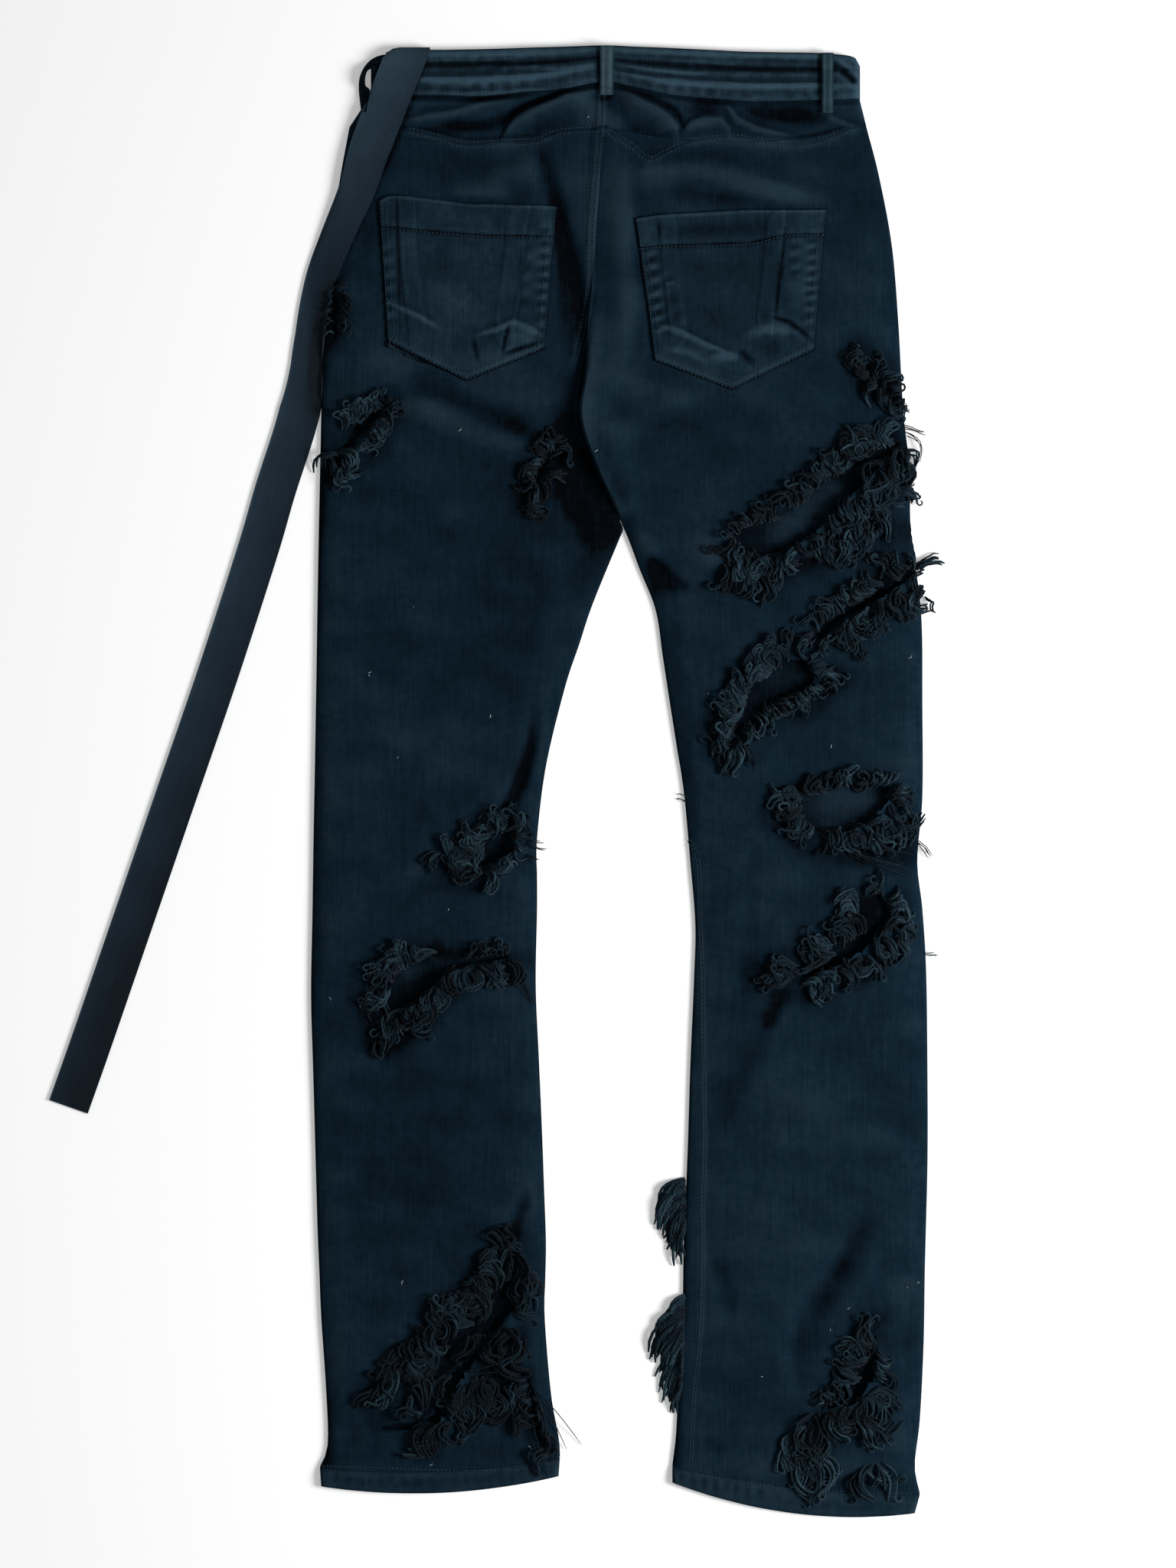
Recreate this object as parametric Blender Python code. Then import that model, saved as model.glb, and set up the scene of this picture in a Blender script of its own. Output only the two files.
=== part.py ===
"""Ripped jeans laid flat, back side up, with a webbing strap over the left hip.

The origin is on the resting surface under the middle of the garment: +X to the right as seen from above,
+Y towards the waist, +Z up. Tables are in millimetres, meshes in metres.
"""

import math
from collections import namedtuple

import bmesh
import bpy
from mathutils import Vector
from mathutils.bvhtree import BVHTree

MM = 0.001

# Driving sizes
DENIM = 1.2
BAND_WALL = 1.8
WEBBING = 1.6
SEAM_GAP = 0.3
WAIST_GAP = 0.9
LAY_GAP = 0.35
EDGE_TOP = DENIM + SEAM_GAP + DENIM
PUFF = 2.7
ROLL = 9.0
ROW_SPACING = 62.0
BAND_SPACING = 40.0
HEM_TOP = 5.6
WAISTBAND_TOP = 6.2
WAISTBAND_END_TOP = 4.6
CREASE_RISE = 0.8
POCKET_CLOTH = 1.3
FRAY_DEPTH = 1.5
STRAP_WIDTH = 32.0
LOOP_CLOTH = 1.6
BUTTON_RADIUS = 8.5
CROTCH_LOW, CROTCH_HIGH = 150.0, 215.0
APRON_SLOPE, APRON_REACH = 6.0, 30.0

COLUMNS = (0.0, 0.05, 0.14, 0.28, 0.46, 0.64, 0.8, 0.92, 1.0)
FRONT_COLUMNS = (0.0, 0.45, 0.63, 0.75, 0.87, 1.0)

# Each leg from hem to yoke seam: where the section meets the side seam and the inseam or centre-back seam
Section = namedtuple("Section", "outer_x outer_y inner_x inner_y bow")
LEFT_SECTIONS = (
    Section(-135, -537, 53, -529, -7),
    Section(-129, -520, 52, -514, -5),
    Section(-130, -480, 46, -480, 0),
    Section(-134, -420, 41, -420, 0),
    Section(-137, -348, 42, -360, 0),
    Section(-139, -276, 39, -276, 0),
    Section(-142, -168, 34, -160, 0),
    Section(-141, -108, 35, -102, 0),
    Section(-140, -40, 35, -45, 0),
    Section(-139, 12, 42, 12, 0),
    Section(-138, 72, 57, 74, 0),
    Section(-137, 136, 79, 140, 0),
    Section(-136, 192, 103, 198, 0),
    Section(-135, 240, 81, 243, 0),
    Section(-134, 290, 67, 285, 0),
    Section(-133, 348, 74, 348, 0),
    Section(-127, 420, 81, 420, 0),
    Section(-120, 468, 85, 478, -4),
    Section(-112, 512, 86.5, 513, -13),
)
RIGHT_SECTIONS = (
    Section(335, -558, 141, -536, -6),
    Section(331, -536, 144, -510, -4),
    Section(335, -500, 146, -466, 0),
    Section(338, -440, 149, -415, 0),
    Section(339, -380, 150, -360, 0),
    Section(341, -300, 153, -290, 0),
    Section(341, -228, 155, -225, 0),
    Section(340, -150, 158, -155, 0),
    Section(337, -100, 159, -112, 0),
    Section(333, -62, 155, -62, 0),
    Section(337, -12, 150, -8, 0),
    Section(337, 60, 139, 62, 0),
    Section(336, 132, 128, 134, 0),
    Section(328, 196, 103, 198, 0),
    Section(327, 245, 81, 243, 0),
    Section(322, 290, 67, 285, 0),
    Section(318, 362, 74, 348, 0),
    Section(313, 420, 81, 420, 0),
    Section(303, 474, 85, 478, -4),
    Section(293, 513, 86.5, 513, -13),
)

# The lower edge of each turned hem, as one more section
HEM_EDGES = {"left": Section(-134, -552, 52, -544, -9), "right": Section(331, -573, 141, -549, -12)}

# Lower and upper edge of the waistband at places across it
BandEdge = namedtuple("BandEdge", "x bottom top")
WAISTBAND_EDGES = (
    BandEdge(-95, 539, 560),
    BandEdge(-86, 538, 568),
    BandEdge(-61, 537, 572),
    BandEdge(-9, 536, 573),
    BandEdge(23, 539, 574),
    BandEdge(55, 542, 575),
    BandEdge(88, 547, 576),
    BandEdge(112, 543, 575),
    BandEdge(138, 537.6, 574),
    BandEdge(199, 532, 571),
    BandEdge(256, 533, 570),
    BandEdge(279, 533.8, 568),
    BandEdge(285, 534, 565.6),
    BandEdge(288, 534.2, 560),
)

# The largest folds: a ridge, or a trough where the rise is negative, with a round cross-section
Fold = namedtuple("Fold", "piece rise spread path")
FOLDS = (
    Fold("left", -1.5, 14, ((39, 492), (52, 452), (68, 404), (70, 350), (60, 310))),
    Fold("left", -1.6, 20, ((56, 290), (66, 250), (76, 216))),
    Fold("right", 2.4, 15, ((94, 400), (88, 340), (80, 292), (92, 246), (112, 206))),
    Fold("left", 1.3, 14, ((-71, 297), (-35, 291), (1, 274), (27, 261))),
    Fold("left", -1.2, 13, ((36, 24), (10, -20))),
    Fold("left", -1.0, 14, ((30, -325), (14, -360))),
    Fold("right", -1.2, 16, ((289, -347), (248, -418), (244, -458))),
    Fold("right", -1.0, 15, ((169, -367), (187, -408))),
    Fold("right", -1.3, 13, ((128, 166), (152, 153))),
    Fold("yoke_left", 1.2, 9, ((-67, 518), (-25, 524), (-1, 532), (23, 537))),
    Fold("yoke_left", 1.2, 9, ((11, 510), (23, 519), (47, 530), (71, 542))),
    Fold("yoke_right", 1.3, 9, ((97, 541), (124, 526), (143, 513))),
    Fold("yoke_right", 1.2, 10, ((150, 513), (185, 513))),
    Fold("yoke_right", -1.2, 9, ((185, 528), (199, 515), (235, 506))),
)

# Outlines of the two patch pockets
POCKETS = {
    "left": ((-89, 454), (-82, 344), (-20, 313), (41, 338), (46, 397), (51, 450), (-20, 452), (-74, 458)),
    "right": ((112, 440), (122, 368), (127, 329), (188, 306), (252, 337), (262, 447), (199, 447), (131, 443)),
}

# Each rip is a slit of changing width along a path, and its frayed yarns reach over a wider strip
Rip = namedtuple("Rip", "leg hole reach")
RIPS = {
    "fray_left_hip": Rip(
        "left",
        ((-122, 390, 2), (-124, 369, 8), (-123, 346, 2)),
        ((-122, 396, 10), (-124, 369, 26), (-123, 338, 10)),
    ),
    "fray_left_thigh": Rip(
        "left",
        ((-84, 295, 2), (-104, 272, 12), (-123, 248, 2)),
        ((-74, 305, 12), (-100, 272, 52), (-126, 234, 16)),
    ),
    "fray_left_inner_thigh": Rip(
        "left",
        ((60, 278, 2), (41, 252, 10), (30, 222, 2)),
        ((60, 284, 8), (38, 248, 40), (22, 206, 16)),
    ),
    "fray_left_knee": Rip(
        "left",
        ((17, -22, 2), (11, -50, 14), (-12, -70, 2)),
        ((22, -16, 12), (8, -48, 44), (-24, -72, 36), (-62, -82, 10)),
    ),
    "fray_left_shin": Rip(
        "left",
        ((14, -137, 2), (-20, -141, 6), (-45, -146, 20), (-66, -160, 28), (-84, -190, 6)),
        ((32, -140, 10), (-10, -143, 28), (-50, -152, 56), (-76, -180, 60), (-92, -214, 24)),
    ),
    "fray_left_hem": Rip(
        "left",
        ((17, -363, 2), (15, -408, 6), (-2, -433, 7), (-31, -470, 9), (-46, -500, 8), (-87, -506, 2)),
        ((19, -350, 12), (-2, -394, 42), (-34, -440, 54), (-62, -486, 62), (-98, -500, 46)),
    ),
    "fray_left_hem_inner": Rip(
        "left",
        ((28, -466, 2), (34, -500, 5), (42, -522, 2)),
        ((28, -460, 8), (35, -500, 22), (43, -526, 10)),
    ),
    "fray_right_hip": Rip(
        "right",
        ((287, 333, 2), (303, 315, 14), (316, 294, 2)),
        ((280, 346, 8), (301, 318, 40), (320, 296, 10)),
    ),
    "fray_right_thigh": Rip(
        "right",
        ((316, 264, 3), (298, 252, 16), (268, 226, 22), (238, 200, 26), (208, 190, 26), (186, 191, 6)),
        ((332, 268, 22), (296, 250, 56), (262, 222, 62), (228, 190, 70), (196, 172, 60), (176, 168, 20)),
    ),
    "fray_right_inner_thigh": Rip(
        "right",
        ((334, 165, 2), (292, 141, 10), (264, 123, 11), (254, 111, 3)),
        ((347, 158, 30), (318, 150, 30), (286, 132, 36), (264, 120, 26), (250, 108, 8)),
    ),
    "fray_right_above_knee": Rip(
        "right",
        ((184, 22, 2), (196, 46, 14), (212, 70, 24), (235, 82, 30), (250, 86, 14)),
        ((170, 14, 12), (186, 46, 44), (208, 72, 52), (238, 80, 44), (264, 78, 26), (278, 78, 8)),
    ),
    "fray_right_knee": Rip(
        "right",
        ((238, -20, 4), (256, -24, 30), (280, -20, 36), (302, -11, 20), (310, -8, 6)),
        ((208, -30, 18), (240, -28, 60), (280, -30, 74), (318, -46, 52), (340, -58, 16)),
    ),
    "fray_right_below_knee": Rip(
        "right",
        ((301, -86, 4), (309, -106, 10), (292, -124, 10), (266, -142, 8), (242, -152, 2)),
        ((328, -90, 12), (308, -112, 38), (280, -136, 52), (240, -152, 50), (196, -150, 28)),
    ),
    "fray_right_shin": Rip(
        "right",
        ((299, -434, 2), (297, -458, 10), (281, -482, 11), (258, -491, 2)),
        ((304, -414, 14), (298, -456, 36), (280, -492, 44), (256, -516, 28), (250, -532, 12)),
    ),
    "fray_right_calf_edge": Rip(
        "right",
        None,
        ((149, -312, 8), (140, -340, 24), (146, -372, 8)),
    ),
    "fray_right_hem_edge": Rip(
        "right",
        None,
        ((145, -408, 8), (137, -440, 18), (142, -478, 8)),
    ),
}

# Yarns that hang over the right hem
HEM_FRAY = ((232, -556), (268, -556), (276, -571), (240, -571))

# The strap's centreline, from the top of the waistband to its cut end
STRAP_ROUTE = (
    (-68, 566), (-76, 546), (-84, 526), (-97, 492), (-106, 463), (-122, 426), (-134, 396), (-140, 371),
    (-145, 341), (-149, 305), (-155, 276), (-170, 228), (-184, 180), (-215, 84), (-248, -12),
    (-281, -108), (-314, -204), (-332, -255),
)  # fmt: skip
STRAP_TURN_X = -66.0
STRAP_TUCK = ((-62, 562), (-58, 550), (-54, 538))
STRAP_STEP = 14.0
STRAP_DROP = 0.22

# Width of the strap seen from above, up its length: it is drawn in over the hip
StrapWidth = namedtuple("StrapWidth", "y width")
STRAP_WIDTHS = (
    StrapWidth(290, 31.0),
    StrapWidth(325, 23.0),
    StrapWidth(350, 22.0),
    StrapWidth(385, 22.5),
    StrapWidth(430, 26.0),
    StrapWidth(470, 29.0),
    StrapWidth(500, STRAP_WIDTH),
)

# Loops that lie on the waistband: middle, ends and width
LyingLoop = namedtuple("LyingLoop", "x_top top x_bottom bottom width")
LYING_LOOPS = {
    "belt_loop_centre": LyingLoop(90.5, 575, 90.5, 537, 13),
    "belt_loop_right": LyingLoop(265, 568.5, 263, 523, 10.5),
}

# The loop at the left side stands off the waistband, seen edge-on
SIDE_LOOP_ROUTE = ((-85, 569.6), (-91, 567.4), (-98.5, 562.5), (-102.3, 555), (-102.8, 541), (-104.9, 525.5))
SIDE_LOOP_CLOTH = 2.2
SIDE_LOOP_LOW, SIDE_LOOP_HIGH = 0.6, 8.6

# The fly's J-shaped topstitched flap on the hidden front
FLY = ((50, 560), (50, 430), (55, 408), (66, 396), (98, 390), (98, 560))
BUTTON_PLACE = (88.0, 558.0)

# Finish of each piece: colour, roughness, metallic
DARK_DENIM = ((0.0065, 0.0135, 0.0225, 1.0), 0.82, 0.0)
WAIST_DENIM = ((0.0095, 0.0195, 0.031, 1.0), 0.8, 0.0)
YARN = ((0.011, 0.02, 0.03, 1.0), 0.9, 0.0)
WEBBING_FINISH = ((0.0115, 0.017, 0.0235, 1.0), 0.7, 0.0)
BUTTON_METAL = ((0.09, 0.075, 0.06, 1.0), 0.42, 0.9)


# ---------------------------------------------------------------- scene

def clear_scene():
    """Removes every object of the startup scene."""
    for obj in list(bpy.data.objects):
        bpy.data.objects.remove(obj, do_unlink=True)


def new_collection(name):
    """Adds a collection to the scene."""
    collection = bpy.data.collections.new(name)
    bpy.context.scene.collection.children.link(collection)
    return collection


def finish_of(name, values):
    """A Principled material with this colour, roughness and metallic value."""
    colour, roughness, metallic = values
    material = bpy.data.materials.new(name)
    material.use_nodes = True
    shader = material.node_tree.nodes["Principled BSDF"]
    shader.inputs["Base Color"].default_value = colour
    shader.inputs["Roughness"].default_value = roughness
    shader.inputs["Metallic"].default_value = metallic
    material.diffuse_color = colour
    return material


def add_piece(name, bm, collection, finish=None):
    """Turns a bmesh in millimetres into an object in metres, its faces pointing out."""
    bmesh.ops.recalc_face_normals(bm, faces=bm.faces)
    bmesh.ops.scale(bm, vec=(MM, MM, MM), verts=bm.verts)
    mesh = bpy.data.meshes.new(name)
    bm.to_mesh(mesh)
    bm.free()
    obj = bpy.data.objects.new(name, mesh)
    collection.objects.link(obj)
    if finish:
        mesh.materials.append(finish_of(name, finish))
    return obj


def cut(obj, cutter, operation="DIFFERENCE"):
    """Adds an exact Boolean to a piece."""
    modifier = obj.modifiers.new(operation.title(), "BOOLEAN")
    modifier.operation = operation
    modifier.solver = "EXACT"
    modifier.object = cutter


# ---------------------------------------------------------------- small geometry

def mix(a, b, t):
    """Linear blend."""
    return a + (b - a) * t


def smoothstep(low, high, value):
    """0 below low, 1 above high, smooth between."""
    t = min(max((value - low) / (high - low), 0.0), 1.0)
    return t * t * (3 - 2 * t)


def distance_to_path(x, y, path):
    """Shortest distance from a point to a run of straight stretches."""
    best = math.inf
    for (ax, ay), (bx, by) in zip(path, path[1:]):
        dx, dy = bx - ax, by - ay
        t = min(max(((x - ax) * dx + (y - ay) * dy) / (dx * dx + dy * dy), 0.0), 1.0)
        best = min(best, math.hypot(x - ax - t * dx, y - ay - t * dy))
    return best


def fold_rise(piece, x, y):
    """Height that the folds of a piece add at a point."""
    total = 0.0
    for fold in FOLDS:
        if fold.piece == piece:
            away = distance_to_path(x, y, fold.path) / fold.spread
            total += fold.rise * math.exp(-(away**2))
    return total


def band_edges_at(x):
    """The waistband's lower and upper edge at x."""
    for a, b in zip(WAISTBAND_EDGES, WAISTBAND_EDGES[1:]):
        if x <= b.x or b is WAISTBAND_EDGES[-1]:
            t = (x - a.x) / (b.x - a.x)
            return mix(a.bottom, b.bottom, t), mix(a.top, b.top, t)


def strip_outline(path):
    """The closed outline of a strip whose path rows are x, y and width."""
    left, right = [], []
    for i, (x, y, width) in enumerate(path):
        ax, ay = path[max(i - 1, 0)][:2]
        bx, by = path[min(i + 1, len(path) - 1)][:2]
        along = Vector((bx - ax, by - ay)).normalized()
        side = Vector((-along.y, along.x)) * width / 2
        left.append((x + side.x, y + side.y))
        right.append((x - side.x, y - side.y))
    return left + right[::-1]


def widened(outline, by):
    """A convex outline grown by moving each corner away from the middle."""
    middle = sum((Vector(p) for p in outline), Vector((0, 0))) / len(outline)
    return [tuple(Vector(p) + (Vector(p) - middle).normalized() * by) for p in outline]


def smooth_route(points, step):
    """Points about a step apart along a smooth curve through the given ones."""
    ends = [Vector(p) for p in points]
    ends = [2 * ends[0] - ends[1], *ends, 2 * ends[-1] - ends[-2]]
    route = []
    for a, b, c, d in zip(ends, ends[1:], ends[2:], ends[3:]):
        count = max(1, round((c - b).length / step))
        for i in range(count):
            t = i / count
            square, cube = 2 * a - 5 * b + 4 * c - d, 3 * b - a - 3 * c + d
            route.append(0.5 * (2 * b + (c - a) * t + square * t**2 + cube * t**3))
    return [*route, ends[-2]]


# ---------------------------------------------------------------- cloth

def sheet_solid(rows, thickness):
    """A wall whose top runs through a grid of points, its sides and underside straight below."""
    bm = bmesh.new()
    across = len(rows[0])
    bmesh.ops.create_grid(bm, x_segments=across - 1, y_segments=len(rows) - 1, size=1)
    bm.verts.ensure_lookup_table()
    for i, row in enumerate(rows):
        for j, point in enumerate(row):
            bm.verts[i * across + j].co = point
    bmesh.ops.triangulate(bm, faces=bm.faces[:], quad_method="FIXED")
    lower = bmesh.ops.extrude_face_region(bm, geom=bm.faces[:])["geom"]
    moved = [v for v in lower if isinstance(v, bmesh.types.BMVert)]
    bmesh.ops.translate(bm, vec=(0, 0, -thickness), verts=moved)
    return bm


def prism(outline, low, high):
    """An outline raised between two heights."""
    bm = bmesh.new()
    face = bm.faces.new([bm.verts.new((x, y, low)) for x, y in outline])
    upper = bmesh.ops.extrude_face_region(bm, geom=[face])["geom"]
    moved = [v for v in upper if isinstance(v, bmesh.types.BMVert)]
    bmesh.ops.translate(bm, vec=(0, 0, high - low), verts=moved)
    return bm


def inset(end, neighbour, wall):
    """The end point of a row moved a wall's thickness towards its neighbour."""
    t = wall / abs(neighbour[0] - end[0])
    return mix(end[0], neighbour[0], t), mix(end[1], neighbour[1], t), end[2]


def ring_solid(rows, wall):
    """A flat-lying tube under rows of top points, its hollow a wall inside, its underside on the surface."""
    bm = bmesh.new()
    outer, inner = [], []
    for row in rows:
        inside = [inset(row[0], row[1], wall), *row[1:-1], inset(row[-1], row[-2], wall)]
        outer.append([bm.verts.new((x, y, 0)) for x, y, z in row] + [bm.verts.new(p) for p in row[::-1]])
        roof = [bm.verts.new((x, y, z - wall)) for x, y, z in inside[::-1]]
        inner.append([bm.verts.new((x, y, wall)) for x, y, z in inside] + roof)
    around = len(outer[0])
    for loops in (outer, inner):
        for a, b in zip(loops, loops[1:]):
            for k in range(around):
                m = (k + 1) % around
                bm.faces.new((a[k], a[m], b[m], b[k]))
    for end in (0, -1):
        for k in range(around):
            m = (k + 1) % around
            bm.faces.new((outer[end][k], outer[end][m], inner[end][m], inner[end][k]))
    return bm


def ribbon_solid(stations):
    """A strip: each station is a row of pairs, a point on its under side and one on its upper side."""
    bm = bmesh.new()
    loops = []
    for station in stations:
        points = [under for under, _ in station] + [upper for _, upper in station[::-1]]
        loops.append([bm.verts.new(point) for point in points])
    around = len(loops[0])
    for a, b in zip(loops, loops[1:]):
        for k in range(around):
            m = (k + 1) % around
            bm.faces.new((a[k], a[m], b[m], b[k]))
    half = around // 2
    for end in (loops[0], loops[-1]):
        for k in range(half - 1):
            bm.faces.new((end[k], end[k + 1], end[around - 2 - k], end[around - 1 - k]))
    return bm


def section_point(section, u):
    """The place at fraction u across a section, from its outer end."""
    y = mix(section.outer_y, section.inner_y, u) + section.bow * 4 * u * (1 - u)
    return mix(section.outer_x, section.inner_x, u), y


class Leg:
    """One leg's surfaces, worked out from its sections."""

    def __init__(self, side, sections):
        self.side = side
        self.cut_sections = sections
        self.sections = self.divided(sections)
        self.seam_shift = -SEAM_GAP / 2 if side == "left" else SEAM_GAP / 2

    @staticmethod
    def divided(sections):
        """The sections with one more halfway between those far apart."""
        rows = [sections[0]]
        for a, b in zip(sections, sections[1:]):
            if abs(b.outer_y - a.outer_y) > ROW_SPACING:
                rows.append(Section(*(mix(p, q, 0.5) for p, q in zip(a, b))))
            rows.append(b)
        return rows

    def across(self, section, columns):
        """Points on a section, from left to right."""
        points = [section_point(section, u) for u in columns]
        above = smoothstep(CROTCH_LOW, CROTCH_HIGH + 20, section.inner_y)
        shift = self.seam_shift
        points = [(x + shift * above * u, y) for (x, y), u in zip(points, columns)]
        return points if points[0][0] < points[-1][0] else points[::-1]

    def top(self, section, x, y):
        """Height of the back panel's top: rolled down to its folded edges, with the large folds on it."""
        width = abs(section.inner_x - section.outer_x)
        from_outer = abs(x - section.outer_x)
        above = smoothstep(CROTCH_LOW, CROTCH_HIGH, section.inner_y)
        from_inner = max(width - from_outer, 0) + 60 * above
        near = min(from_outer, from_inner)
        rise = PUFF * (1 - math.exp(-near / ROLL)) + fold_rise(self.side, x, y) * min(near / 12, 1)
        return EDGE_TOP + max(rise, 0.0)

    def back_rows(self):
        """The back panel's grid of points."""
        return [
            [(x, y, self.top(s, x, y)) for x, y in self.across(s, COLUMNS)]
            for s in self.sections
        ]

    def front_rows(self):
        """The front panel's grid, flat on the surface and reaching up to the waistband."""
        rows = [[(x, y, DENIM) for x, y in self.across(s, FRONT_COLUMNS)] for s in self.cut_sections]
        rows.append([(x, band_edges_at(x)[0] - WAIST_GAP, DENIM) for x in self.waist_places(FRONT_COLUMNS)])
        return rows

    def apron_rows(self, low, high, lift):
        """The back panel's rows in a stretch of the leg, lifted, and led down to the surface beside it."""
        rows = []
        for row in self.back_rows():
            if low - 60 < row[0][1] < high + 60:
                (lx, ly, _), (rx, ry, _) = row[0], row[-1]
                far, near = APRON_REACH, APRON_SLOPE
                left = [(lx - far, ly, 0.0), (lx - near, ly, 0.0)]
                right = [(rx + near, ry, 0.0), (rx + far, ry, 0.0)]
                rows.append([(x, y, z + lift) for x, y, z in [*left, *row, *right]])
        return rows

    def waist_places(self, columns):
        """x of points across the top of this half, under the waistband."""
        outer = WAISTBAND_EDGES[0].x if self.side == "left" else WAISTBAND_EDGES[-1].x
        inner = self.sections[-1].inner_x + self.seam_shift
        places = [mix(outer, inner, u) for u in columns]
        return sorted(places)

    def yoke_rows(self):
        """The yoke's grid, between the yoke seam and the waistband."""
        low = [(x, y + SEAM_GAP) for x, y in self.across(self.sections[-1], COLUMNS)]
        high = [(x, band_edges_at(x)[0] - WAIST_GAP) for x in self.waist_places(COLUMNS)]
        rows = []
        for step in range(4):
            t = step / 3
            places = [(mix(a[0], b[0], t), mix(a[1], b[1], t)) for a, b in zip(low, high)]
            outer = places[0][0] if self.side == "left" else places[-1][0]
            name = f"yoke_{self.side}"
            row = []
            for x, y in places:
                away = abs(x - outer)
                rise = PUFF * (1 - math.exp(-away / ROLL)) + fold_rise(name, x, y) * min(away / 12, 1)
                row.append((x, y, EDGE_TOP + max(rise, 0.0)))
            rows.append(row)
        return rows

    def hem_rows(self):
        """The hem's rows of top points, from its lower edge up to the panel."""
        upper = self.sections[0]
        lower = HEM_EDGES[self.side]
        rows = []
        for t in (0.0, 0.5, 1.0):
            section = Section(*(mix(a, b, t) for a, b in zip(lower, upper)))
            drop = SEAM_GAP * t
            points = self.across(section, COLUMNS)
            last = len(points) - 1
            tops = [HEM_TOP - 1.2 if j in (0, last) else HEM_TOP for j in range(last + 1)]
            rows.append([(x, y - drop, top) for (x, y), top in zip(points, tops)])
        return rows


def waistband_rows():
    """The waistband's rows of top points, with two lengthwise creases."""
    places = [WAISTBAND_EDGES[0].x]
    for a, b in zip(WAISTBAND_EDGES, WAISTBAND_EDGES[1:]):
        if b.x - a.x > BAND_SPACING:
            places.append((a.x + b.x) / 2)
        places.append(b.x)
    rows = []
    for height, crease in ((0.0, 0.0), (0.34, 1.0), (0.56, 0.3), (0.78, 1.0), (1.0, 0.0)):
        row = []
        for x in places:
            bottom, top = band_edges_at(x)
            z = WAISTBAND_TOP + CREASE_RISE * crease
            z = WAISTBAND_END_TOP if x in (places[0], places[-1]) else z
            row.append((x, mix(bottom, top, height), z))
        rows.append(row)
    return rows


# ---------------------------------------------------------------- what lies on the cloth

class Ground:
    """The highest cloth under a point, read from the finished solids."""

    def __init__(self, objects):
        graph = bpy.context.evaluated_depsgraph_get()
        self.trees = [BVHTree.FromObject(obj, graph) for obj in objects]

    def at(self, x, y, around=0.0):
        """Top of the cloth at a point, or the highest within a distance of it, in millimetres."""
        turns = [math.radians(45 * k) for k in range(8)] if around else []
        places = [(x, y)] + [(x + around * math.cos(a), y + around * math.sin(a)) for a in turns]
        best = 0.0
        for px, py in places:
            for tree in self.trees:
                hit = tree.ray_cast(Vector((px, py, 60)) * MM, Vector((0, 0, -1)))[0]
                if hit:
                    best = max(best, hit.z / MM)
        return best


def settle(heights, places, slope):
    """Raises points so that no step between neighbours is steeper than a slope."""
    rows, columns = len(heights), len(heights[0])
    for _ in range(rows):
        for i in range(rows):
            for j in range(columns):
                for m, n in ((i - 1, j), (i + 1, j), (i, j - 1), (i, j + 1)):
                    if 0 <= m < rows and 0 <= n < columns:
                        reach = (places[i][j] - places[m][n]).length
                        heights[i][j] = max(heights[i][j], heights[m][n] - slope * reach)
    return heights


def strap_width_at(y):
    """The strap's width at a height on the hip."""
    for a, b in zip(STRAP_WIDTHS, STRAP_WIDTHS[1:]):
        if a.y < y < b.y:
            return mix(a.width, b.width, (y - a.y) / (b.y - a.y))
    return STRAP_WIDTH


def strip_places(route, widths, columns, first_side=None):
    """Places across a strip at each point of its route. first_side sets the direction across its start."""
    places = []
    for i, point in enumerate(route):
        along = (route[min(i + 1, len(route) - 1)] - route[max(i - 1, 0)]).normalized()
        side = Vector((-along.y, along.x))
        side = -side if side.x < 0 else side
        if first_side and i == 0:
            side = first_side / abs(first_side.dot(side))
        half = widths[i] / 2
        shares = [j / (columns - 1) for j in range(columns)]
        places.append([point + side * mix(-half, half, share) for share in shares])
    return places


def lay_strip(places, ground, cloth, slope, around):
    """Stations of a strip that lies on the cloth and runs down to the surface beside it."""
    heights = [[ground.at(p.x, p.y, around) for p in row] for row in places]
    heights = settle(heights, places, slope)
    stations = []
    for row, tops in zip(places, heights):
        lift = [(p, z + LAY_GAP if z > 0.01 else 0.0) for p, z in zip(row, tops)]
        stations.append([((p.x, p.y, z), (p.x, p.y, z + cloth)) for p, z in lift])
    return stations


def strap_stations(ground):
    """The strap: tucked inside the waistband, turned over its top edge, then laid over the hip."""
    columns = 4
    across = Vector((1.0, 0.0))
    route = smooth_route(STRAP_ROUTE, STRAP_STEP)
    widths = [strap_width_at(point.y) for point in route]
    outside = strip_places(route, widths, columns, across)
    outside = lay_strip(outside, ground, WEBBING, STRAP_DROP, 5.0)
    slant = STRAP_WIDTH / 2 * 1.08
    spread = [mix(-slant, slant, j / (columns - 1)) for j in range(columns)]
    edge_y = max(band_edges_at(STRAP_TURN_X + s)[1] for s in (-slant, slant))
    middle_z = WAISTBAND_TOP - BAND_WALL / 2
    under, upper = BAND_WALL / 2 + LAY_GAP, BAND_WALL / 2 + LAY_GAP + WEBBING
    turn = []
    for angle in (-90, -60, -30, 0, 30, 60, 90):
        c, s = math.cos(math.radians(angle)), math.sin(math.radians(angle))
        inner = (edge_y + under * c, middle_z + under * s)
        outer = (edge_y + upper * c, middle_z + upper * s)
        turn.append([((STRAP_TURN_X + a, *inner), (STRAP_TURN_X + a, *outer)) for a in spread])
    tucked = []
    for x, y in reversed(STRAP_TUCK):
        place = [(x + a, y) for a in spread]
        tucked.append([((px, py, middle_z - under), (px, py, middle_z - upper)) for px, py in place])
    return [*tucked, *turn, *outside]


def standing_strip(route, cloth, low, high):
    """A strip on its edge: its route seen from above, its width upright."""
    path = [(*point, cloth) for point in route]
    return prism(strip_outline(path), low, high)


# ---------------------------------------------------------------- the garment

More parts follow.
